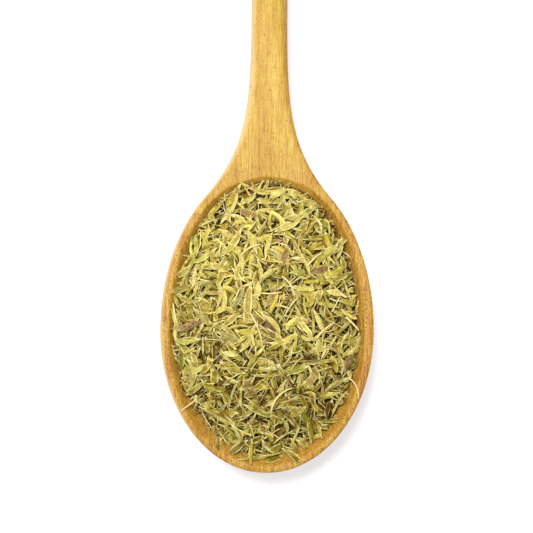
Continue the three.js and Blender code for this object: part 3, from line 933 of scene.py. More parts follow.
class Tone(Enum):
    """The colours that dried thyme takes."""

    YELLOW_GREEN = srgb(218, 205, 117)
    LIGHT_GREEN = srgb(206, 193, 101)
    OLIVE = srgb(188, 170, 68)
    GREY_GREEN = srgb(180, 168, 96)
    FRESH_GREEN = srgb(176, 174, 80)
    SHADE = srgb(132, 114, 40)
    CREAM = srgb(232, 219, 152)
    AMBER = srgb(210, 190, 78)
    TAN = srgb(182, 154, 96)
    BROWN = srgb(154, 126, 78)
    PLUM = srgb(132, 106, 80)
    STRAW = srgb(236, 221, 152)


@dataclass(frozen=True)
class Form:
    """How a long thin bit is divided: stations along it, their widths, and the loop round a section.

    Loop corners are shares of the half width across and of half the thickness up.
    """

    stations: tuple[float, ...]
    widths: tuple[float, ...]
    across: tuple[float, ...]
    up: tuple[float, ...]
    creases: tuple[float, ...] = ()
    ragged: float = 0.0

    def width_at(self, share: Array) -> Array:
        """The width at a share of the length, as a share of the greatest width."""
        return np.interp(share, (0, *self.stations, 1), (0, *self.widths, 0))


def blade_form(stations: Sequence[float], petiole: float = 0.18) -> Form:
    """A leaf's form: a narrow petiole, then an oblong blade, the root of a sine, widest past its middle.

    Args:
        stations: Shares of the length where sections stand.
        petiole: The petiole's width as a share of the blade's.

    Returns:
        The form, whose section has a groove along the rib and rolled margins.
    """
    share = np.array(stations)
    along = np.clip((share - 0.08) / 0.92, 0, 1) ** 1.2
    blade = np.sin(np.pi * along) ** 0.5
    stem = petiole * np.sqrt(np.minimum(share, 0.1) / 0.1)
    widths = tuple(float(width) for width in np.maximum(blade, stem))
    return Form(
        stations=tuple(stations),
        widths=widths,
        across=(-1, -0.62, 0, 0.62, 1, 0.66, 0, -0.66),
        up=(0.1, 1, 0.35, 1, 0.1, -1, -0.8, -1),
        creases=(0.0, 0.5, 1.0),
        ragged=0.05,
    )


def rod_form(stations: Sequence[float], widths: Sequence[float], sides: int) -> Form:
    """A round form with so many sides."""
    turns = -2 * np.pi * np.arange(sides) / sides
    return Form(tuple(stations), tuple(widths), tuple(np.cos(turns)), tuple(np.sin(turns)))


STREWN_LEAF = blade_form((0.02, 0.14, 0.3, 0.5, 0.72, 0.89, 0.975))
FINE_LEAF = blade_form((0.01, 0.06, 0.12, 0.2, 0.3, 0.42, 0.55, 0.68, 0.79, 0.88, 0.95, 0.985))
STALK_BIT = rod_form((0.01, 0.25, 0.5, 0.75, 0.99), (0.9, 1, 0.94, 0.88, 0.8), 6)
FLOWER_BIT = rod_form((0.02, 0.15, 0.45, 0.8, 0.98), (0.3, 0.62, 0.9, 1, 0.72), 8)


@dataclass
class Bits:
    """Many long thin bits of one form. Arrays have one entry for each bit; lengths in millimetres.

    A bit's surface over its place (s, t) along and across is level + slope s + lean t
    + arch (1 - (2 s / length)^2) - cup times half of (2 t / width)^2 and half of its root, so that it
    is folded along its rib. It also bends sideways in plan and twists.
    """

    x: Array
    y: Array
    heading: Array
    length: Array
    width: Array
    thickness: Array
    arch: Array
    cup: Array
    bend: Array
    twist: Array
    face_down: NDArray[np.bool_]
    colour: Array
    tip_colour: Array
    tip_share: Array
    level: Array = field(default_factory=lambda: np.zeros(0))
    slope: Array = field(default_factory=lambda: np.zeros(0))
    lean: Array = field(default_factory=lambda: np.zeros(0))

    def __post_init__(self) -> None:
        """Gives bits that haven't come to rest a level place."""
        if len(self.level) != len(self.x):
            self.level, self.slope, self.lean = (np.zeros(len(self.x)) for _ in range(3))

    @staticmethod
    def joined(several: Sequence[Bits]) -> Bits:
        """Several sets of bits as one."""
        columns = {name: [getattr(bits, name) for bits in several] for name in vars(several[0])}
        return Bits(**{name: np.concatenate(parts) for name, parts in columns.items()})

    def shell(self, form: Form) -> Shell:
        """Works out every bit's corners at once.

        Args:
            form: The bits' form.

        Returns:
            One shell that holds them all, with colours and a map of along and across. Along is 2
        more on bits that lie face down.
        """
        count = len(self.x)
        stations = np.array((0.0, *form.stations, 1.0))
        widths = np.array((0.0, *form.widths, 0.0))
        turned = np.where(self.face_down, -1.0, 1.0)[:, None, None]
        half = self.width[:, None, None] / 2 * widths[:, None]
        half = half * self.ragged(form, (count, len(stations), len(form.across)))
        thick = self.thickness[:, None, None] / 2 * np.sqrt(widths)[:, None]
        across = np.array(form.across)
        cup = np.abs(self.cup)[:, None, None] * widths[:, None] ** 2
        t = turned * half * across
        fold = (across**2 + np.abs(across)) / 2
        up = turned * (thick * np.array(form.up) - cup * fold)
        bow = (1 - (2 * stations - 1) ** 2)[:, None]
        angle = self.twist[:, None, None] * (stations - 0.5)[:, None]
        side = t * np.cos(angle) - up * np.sin(angle) + self.bend[:, None, None] * bow
        rise = t * np.sin(angle) + up * np.cos(angle) + self.arch[:, None, None] * bow
        s = np.broadcast_to((self.length[:, None] * (stations - 0.5))[:, :, None], side.shape)
        points = self.to_world(np.stack([s, side, rise], -1))
        size = 2 + len(form.stations) * len(across)
        inner = points[:, 1:-1].reshape(count, -1, 3)
        corners = np.concatenate([points[:, 0, :1], inner, points[:, -1, :1]], axis=1)
        quads, triangles = loop_faces(len(form.stations), len(across))
        along = np.concatenate([[0.0], np.repeat(form.stations, len(across)), [1.0]])
        map_across = np.concatenate([[0.5], np.tile(across / 2 + 0.5, len(form.stations)), [0.5]])
        map_along = along + 2.0 * self.face_down[:, None]
        places = np.stack([map_along, np.broadcast_to(map_across, map_along.shape)], -1).reshape(-1, 2)
        to_tip = smooth(along[None, :], 0.45, 1.0) * self.tip_share[:, None]
        colours = mix(self.colour[:, None, :], self.tip_colour[:, None, :], to_tip[:, :, None])
        return Shell(
            points=corners.reshape(-1, 3),
            quads=repeated(quads, count, size),
            triangles=repeated(triangles, count, size),
            colours=colours.reshape(-1, 3),
            places=places,
            creases=form.creases,
        )

    def ragged(self, form: Form, shape: tuple[int, int, int]) -> Array:
        """How much wider or narrower each side of each section is, by chance, as a factor."""
        random = np.random.default_rng(shape[0])
        left, right = random.normal(1.0, form.ragged, (2, *shape[:2], 1)).clip(*RAGGED_LIMITS)
        return np.where(np.array(form.across) < 0, left, right)

    def to_world(self, points: Array) -> Array:
        """Turns corners from along, across and up into x, y and z.

        Args:
            points: Corners as an array of bits, stations, loop corners and three numbers.

        Returns:
            The corners where the bits lie.
        """
        cos, sin = np.cos(self.heading), np.sin(self.heading)
        along = np.stack([cos, sin, self.slope], -1)
        along /= np.linalg.norm(along, axis=-1, keepdims=True)
        across = np.stack([-sin, cos, self.lean], -1)
        across -= along * (across * along).sum(-1, keepdims=True)
        across /= np.linalg.norm(across, axis=-1, keepdims=True)
        axes = np.stack([along, across, np.cross(along, across)], axis=1)
        middle = np.stack([self.x, self.y, self.level], -1)
        return np.einsum("nslk,nkc->nslc", points, axes) + middle[:, None, None, :]


@dataclass
class Kind:
    """A kind of bit that is strewn: its least and greatest sizes, and how often it takes each tone."""

    length: tuple[float, float]
    width: tuple[float, float]
    thickness: tuple[float, float]
    tones: Mapping[Tone, float]
    arch: tuple[float, float] = (-0.4, 0.95)
    cup: tuple[float, float] = (0.08, 0.32)
    bend: float = 0.35
    twist: float = 0.6
    upside_down: float = 0.35

    def draw(self, count: int, random: np.random.Generator) -> Bits:
        """Draws bits of this kind, not yet placed.

        Args:
            count: How many.
            random: The generator that is drawn from.

        Returns:
            The bits, all in the middle of the frame.
        """
        tones = np.array([tone.value for tone in self.tones])
        odds = np.array(list(self.tones.values()))
        picks = random.choice(len(tones), (2, count), p=odds / odds.sum())
        colour = mix(tones[picks[0]], tones[picks[1]], random.uniform(0, SECOND_TONE, (count, 1)))
        colour = colour * random.normal(*LIGHTNESS, (count, 1)).clip(*LIGHTNESS_LIMITS)
        colour = colour * random.normal(1, HUE_SPREAD, (count, 3))
        length = random.uniform(*self.length, count)
        face_down = random.random(count) < self.upside_down
        cup = random.uniform(*self.cup, count)
        return Bits(
            x=np.zeros(count),
            y=np.zeros(count),
            heading=random.uniform(0, 2 * np.pi, count),
            length=length,
            width=random.uniform(*self.width, count),
            thickness=random.uniform(*self.thickness, count),
            arch=random.uniform(*self.arch, count) * length / USUAL_LENGTH,
            cup=np.where(face_down, -cup, cup),
            bend=random.normal(0, self.bend, count) * (length / USUAL_LENGTH) ** 2,
            twist=random.normal(0, self.twist, count),
            face_down=face_down,
            colour=colour,
            tip_colour=np.array(Tone.AMBER.value) * np.ones((count, 1)),
            tip_share=AMBER_TIP * random.uniform(0, 1, count) ** AMBER_RARITY,
        )


BLADES = Kind(
    length=(4.2, 7.6),
    width=(0.95, 1.8),
    thickness=(0.1, 0.16),
    cup=(0.1, 0.6),
    bend=0.5,
    tones={
        Tone.YELLOW_GREEN: 5,
        Tone.LIGHT_GREEN: 7,
        Tone.OLIVE: 6,
        Tone.GREY_GREEN: 2,
        Tone.FRESH_GREEN: 1.2,
        Tone.SHADE: 1.2,
        Tone.TAN: 1.2,
        Tone.CREAM: 0.6,
    },
)
ROLLED = Kind(
    length=(4.0, 7.8),
    width=(0.55, 1.0),
    thickness=(0.2, 0.3),
    cup=(0.15, 0.4),
    bend=0.7,
    tones={
        Tone.YELLOW_GREEN: 5,
        Tone.LIGHT_GREEN: 5,
        Tone.OLIVE: 3.5,
        Tone.TAN: 1.2,
        Tone.CREAM: 1,
        Tone.AMBER: 0.4,
    },
)
SCRAPS = Kind(
    length=(1.6, 3.6),
    width=(0.6, 1.6),
    thickness=(0.1, 0.16),
    twist=0.9,
    tones={
        Tone.YELLOW_GREEN: 4,
        Tone.LIGHT_GREEN: 4,
        Tone.OLIVE: 3,
        Tone.TAN: 1.5,
        Tone.BROWN: 0.6,
        Tone.CREAM: 0.6,
    },
)
BROWNED = Kind(
    length=(3.0, 6.5),
    width=(0.9, 1.8),
    thickness=(0.12, 0.18),
    tones={Tone.TAN: 4, Tone.BROWN: 3, Tone.PLUM: 0.5, Tone.AMBER: 1, Tone.SHADE: 3},
)
TWIGS = Kind(
    length=(2.5, 7.5),
    width=(0.2, 0.42),
    thickness=(0.2, 0.42),
    arch=(-0.1, 0.5),
    cup=(0.0, 0.001),
    bend=0.5,
    twist=0.0,
    tones={Tone.STRAW: 5, Tone.CREAM: 3, Tone.TAN: 1, Tone.LIGHT_GREEN: 1.5},
)
SLIVERS = Kind(
    length=(2.0, 6.0),
    width=(0.18, 0.36),
    thickness=(0.12, 0.2),
    arch=(-0.1, 0.5),
    cup=(0.0, 0.001),
    bend=0.6,
    twist=0.0,
    tones={Tone.STRAW: 4, Tone.CREAM: 4, Tone.YELLOW_GREEN: 4, Tone.LIGHT_GREEN: 2},
)
CRUMBS = Kind(
    length=(0.4, 1.3),
    width=(0.2, 0.5),
    thickness=(0.15, 0.3),
    tones={Tone.BROWN: 4, Tone.SHADE: 4, Tone.PLUM: 1, Tone.TAN: 3, Tone.CREAM: 0.6},
)
FLOWERS = Kind(
    length=(1.8, 3.0),
    width=(0.9, 1.3),
    thickness=(0.9, 1.3),
    arch=(0, 0.15),
    cup=(0.0, 0.001),
    bend=0.15,
    twist=0.0,
    tones={Tone.PLUM: 4, Tone.BROWN: 2, Tone.GREY_GREEN: 1},
)


# The heap


@dataclass
class Heap:
    """The heap in the bowl: where its surface lies, and how far it reaches in each direction.

    Each edge is a direction in degrees and the share of the hollow where the heap meets the wall.
    """

    spoon: Spoon
    crown: float = 5.4
    power: float = 2.5
    bed_depth: float = 3.4
    bed_clearance: float = 0.35
    edges: tuple[tuple[float, float], ...] = (
        (-180, 0.975),
        (-145, 0.93),
        (-120, 0.925),
        (-90, 0.955),
        (-60, 0.925),
        (-35, 0.925),
        (0, 0.955),
        (40, 0.94),
        (65, 0.965),
        (90, 0.98),
        (120, 0.96),
        (150, 0.935),
        (180, 0.975),
    )
    bed_columns: int = 96
    bed_rings: int = 12

    def edge(self, x: Array, y: Array) -> Array:
        """The share of the hollow where the heap meets the wall, by direction."""
        degrees, shares = zip(*self.edges, strict=True)
        return np.interp(np.degrees(self.spoon.angle(x, y)), degrees, shares)

    def dome(self, x: Array, y: Array) -> Array:
        """The heap's surface: from the wall up to the crown as 1 - (share / edge)^power."""
        edge = self.edge(x, y)
        foot = -self.spoon.hollow_depth * (1 - edge**self.spoon.hollow_power)
        inwards = 1 - np.minimum(1, self.spoon.hollow_share(x, y) / edge) ** self.power
        return self.spoon.rim_height(y) + foot + (self.crown - foot) * inwards

    def bed_top(self, x: Array, y: Array) -> Array:
        """The top of the dark bed under the leaves that are modelled one by one."""
        return self.dome(x, y) - self.bed_depth

    def bed_shell(self) -> Shell:
        """The bed: rings over the hollow's floor out to where the bed's top meets the wall, and back.

        Returns:
            The closed shell.
        """
        turns = 2 * np.pi * np.arange(self.bed_columns) / self.bed_columns
        shares = np.linspace(0, 1, 400)[:, None]
        x, y = self.oval(shares, turns[None, :])
        room = self.bed_top(x, y) - self.spoon.wall_height(x, y) - self.bed_clearance
        reach = shares[np.argmax(room < 0, axis=0) - 1].ravel()
        out = np.sin(np.linspace(0.12, np.pi / 2, self.bed_rings))[:, None] * reach
        x, y = self.oval(out, turns[None, :])
        floor = np.stack([x, y, self.spoon.wall_height(x, y) + self.bed_clearance], -1)
        top = np.stack([x, y, self.bed_top(x, y)], -1)[-2::-1]
        middle = np.array([0.0, self.spoon.bowl_y])
        ends = [self.spoon.wall_height(*middle) + self.bed_clearance, self.bed_top(*middle)]
        first, last = (np.append(middle, height) for height in ends)
        return tube(np.concatenate([floor, top]), first, last)

    def oval(self, share: Array, turn: Array) -> tuple[Array, Array]:
        """Places at a share of the hollow's size in a direction."""
        squarer = 2 / self.spoon.outline_power
        cos, sin = np.cos(turn), np.sin(turn)
        reach = np.where(sin < 0, self.spoon.hollow_tip_length, self.spoon.hollow_neck_length)
        x = share * self.spoon.hollow_half_width * np.sign(cos) * np.abs(cos) ** squarer
        y = self.spoon.bowl_y + share * reach * np.sign(sin) * np.abs(sin) ** squarer
        return x, y


class Pile:
    """How high the pile stands, on a fine grid seen from above. Bits are let down onto it one by one.

    A bit is tried with each slope and lean, and held against the pile at shares of its length and
    its width. A strewn bit's middle lies inside the heap's edge, and its ends go little past it.
    """

    CELL = 0.2
    LOW = (-28.0, -126.0)
    HIGH = (28.0, -47.0)
    STEEPEST = 0.6
    SLOPES = np.linspace(-STEEPEST, STEEPEST, 25)
    LEANS = np.linspace(-STEEPEST, STEEPEST, 15)
    ALONG = np.linspace(-0.48, 0.48, 11)
    ACROSS = np.linspace(-0.42, 0.42, 3)
    CONTACTS = 3
    SINK = 0.15
    INSIDE_EDGE = 0.02
    PAST_EDGE = 0.03
    PAST_LIP = 1.1
    TURNS = 4
    OUT_OF_REACH = 50.0
    MIDDLE_PART = 0.85
    NECK_SPREAD = 0.55
    HIGHEST_CRUMB = 0.985

    def __init__(self, heap: Heap, random: np.random.Generator) -> None:
        """Starts with the bowl's wall and the bed."""
        self.heap = heap
        self.random = random
        self.columns = np.arange(self.LOW[0], self.HIGH[0], self.CELL)
        self.lines = np.arange(self.LOW[1], self.HIGH[1], self.CELL)
        x, y = np.meshgrid(self.columns, self.lines)
        spoon = heap.spoon
        wood = spoon.top_height(x, y)
        share = spoon.hollow_share(x, y)
        bed = np.where(share < heap.edge(x, y), heap.bed_top(x, y), -np.inf)
        inside = np.abs(x) < spoon.half_width(y)
        self.height = np.where(inside, np.maximum(wood, bed), 0.0)
        self.slopes, self.leans = (grid.ravel() for grid in np.meshgrid(self.SLOPES, self.LEANS))
        self.along, self.across = (grid.ravel() for grid in np.meshgrid(self.ALONG, self.ACROSS))

    def at(self, x: Array, y: Array, height: Array | None = None) -> Array:
        """The pile's height at places in plan, or what another such grid holds there."""
        column = np.clip(((x - self.LOW[0]) / self.CELL).astype(int), 0, len(self.columns) - 1)
        line = np.clip(((y - self.LOW[1]) / self.CELL).astype(int), 0, len(self.lines) - 1)
        return (self.height if height is None else height)[line, column]

    def evened(self, reach: int = 3) -> Array:
        """The pile's mean height within so many cells each way."""
        height = self.height
        for axis in (0, 1):
            shifted = [np.roll(height, shift, axis) for shift in range(-reach, reach + 1)]
            height = np.mean(shifted, axis=0)
        return height

    def over_dome(self) -> Array:
        """How far the pile stands over the heap's dome, at places spread over its middle part."""
        x, y = np.meshgrid(self.columns[::5], self.lines[::5])
        inner = self.heap.spoon.hollow_share(x, y) < self.MIDDLE_PART * self.heap.edge(x, y)
        return (self.at(x, y) - self.heap.dome(x, y))[inner]

    def settle(self, bits: Bits, k: int, form: Form, unsteady: float = 0.12) -> None:
        """Lets one bit down until it lies as low as it can, and adds it to the pile.

        For each slope and lean on a grid, the level is the least that keeps the bit over the pile
        but for its two highest points, which press in, and a slight sinking. It comes to rest where
        the level is lowest, give or take a little chance.

        Args:
            bits: The bits, of which one gets its level, slope and lean.
            k: Its number.
            form: Its form.
            unsteady: How far chance may hold it above its steadiest place.
        """
        length, width = bits.length[k], bits.width[k]
        s = self.along * length
        t = self.across * width * form.width_at(self.along + 0.5)
        bow = 1 - (2 * self.along) ** 2
        cos, sin = np.cos(bits.heading[k]), np.sin(bits.heading[k])
        side = t + bits.bend[k] * bow
        under = self.at(bits.x[k] + cos * s - sin * side, bits.y[k] + sin * s + cos * side)
        form_height = bits.arch[k] * bow - bits.cup[k] * (2 * self.across) ** 2
        need = under - form_height + bits.thickness[k] / 2
        levels = need - self.slopes[:, None] * s - self.leans[:, None] * side
        levels = np.partition(levels, -self.CONTACTS, axis=1)[:, -self.CONTACTS] - self.SINK
        best = np.argmin(levels + unsteady * self.random.random(len(levels)))
        bits.level[k] = levels[best]
        bits.slope[k] = self.slopes[best]
        bits.lean[k] = self.leans[best]
        self.cover(bits, k, form)

    def cover(self, bits: Bits, k: int, form: Form) -> None:
        """Raises the pile under one bit to the bit's upper face."""
        reach = bits.length[k] / 2 + abs(bits.bend[k]) + self.CELL
        column = np.searchsorted(self.columns, [bits.x[k] - reach, bits.x[k] + reach])
        line = np.searchsorted(self.lines, [bits.y[k] - reach, bits.y[k] + reach])
        patch = (slice(*line), slice(*column))
        x = self.columns[patch[1]][None, :] - bits.x[k]
        y = self.lines[patch[0]][:, None] - bits.y[k]
        cos, sin = np.cos(bits.heading[k]), np.sin(bits.heading[k])
        s = x * cos + y * sin
        share = s / bits.length[k]
        bow = 1 - (2 * share) ** 2
        side = y * cos - x * sin
        t = side - bits.bend[k] * bow
        half = bits.width[k] / 2 * form.width_at(share + 0.5)
        top = bits.level[k] + bits.slope[k] * s + bits.lean[k] * side + bits.arch[k] * bow
        top = top - bits.cup[k] * (t / np.maximum(half, 0.05)) ** 2 + bits.thickness[k] / 2
        covered = (np.abs(t) <= half) & (np.abs(share) < 0.5)
        self.height[patch] = np.where(covered, np.maximum(self.height[patch], top), self.height[patch])

    def fringe(self, bits: Bits, form: Form, spread: float = 0.035) -> None:
        """Lets crumbs down round the heap's foot, thinning out up the wall, half of them by the neck.

        Args:
            bits: The crumbs, which get their places.
            form: Their form.
            spread: How far up the wall they reach, as a share of the hollow's size.
        """
        count = len(bits.x)
        anywhere = self.random.uniform(0, 2 * np.pi, count)
        by_neck = np.pi / 2 + self.random.normal(0, self.NECK_SPREAD, count)
        turn = np.where(self.random.random(count) < 0.5, anywhere, by_neck)
        edge = self.heap.edge(*self.heap.oval(np.ones(count), turn))
        share = edge - self.INSIDE_EDGE + spread * self.random.random(count) ** 1.5
        bits.x, bits.y = self.heap.oval(np.minimum(share, self.HIGHEST_CRUMB), turn)
        for k in range(count):
            self.settle(bits, k, form)

    def strew(self, bits: Bits, form: Form, tries: int = 6, over_rim: float = 0.02) -> None:
        """Strews bits one after another, each to the deepest of a few places drawn by chance.

        Args:
            bits: The bits, which get their places.
            form: Their form.
            tries: How many places are drawn for a bit.
            over_rim: How often a bit may reach over the lip.
        """
        heap, spoon = self.heap, self.heap.spoon
        for k in range(len(bits.x)):
            turn = self.random.uniform(0, 2 * np.pi, tries)
            x, y = heap.oval(np.sqrt(self.random.random(tries)), turn)
            inward = heap.edge(x, y) - self.INSIDE_EDGE
            x, y = x * inward, spoon.bowl_y + (y - spoon.bowl_y) * inward
            half = bits.length[k] / 2
            for _ in range(self.TURNS):
                cos, sin = np.cos(bits.heading[k]), np.sin(bits.heading[k])
                ends = [(x + way * half * cos, y + way * half * sin) for way in (-1, 1)]
                past = np.maximum(*(spoon.hollow_share(*end) for end in ends))
                over = self.random.random(tries) < over_rim
                free = past < np.where(over, self.PAST_LIP, heap.edge(x, y) + self.PAST_EDGE)
                if free.any():
                    break
                bits.heading[k] = self.random.uniform(0, 2 * np.pi)
            depth = heap.dome(x, y) - self.at(x, y) - np.where(free, 0, self.OUT_OF_REACH)
            place = np.argmax(depth)
            bits.x[k], bits.y[k] = x[place], y[place]
            self.settle(bits, k, form)


@dataclass(frozen=True)
class Photo:
    """How a place in the photograph becomes a place in plan."""

    millimetres: float = 0.25
    middle: float = 267.0
    tip_row: float = 472.5
    tip_y: float = -125.0

    def plan(self, column: float, row: float) -> tuple[float, float]:
        """The place in plan, in millimetres, of a column and a row of the photograph."""
        x = (column - self.middle) * self.millimetres
        return x, self.tip_y + (self.tip_row - row) * self.millimetres


@dataclass(frozen=True)
class Shown:
    """A leaf that shows well in the photograph: its petiole's and its tip's column and row there."""

    petiole: tuple[float, float]
    tip: tuple[float, float]
    tone: Tone
    width: float = 1.7
    bend: float = 0.0


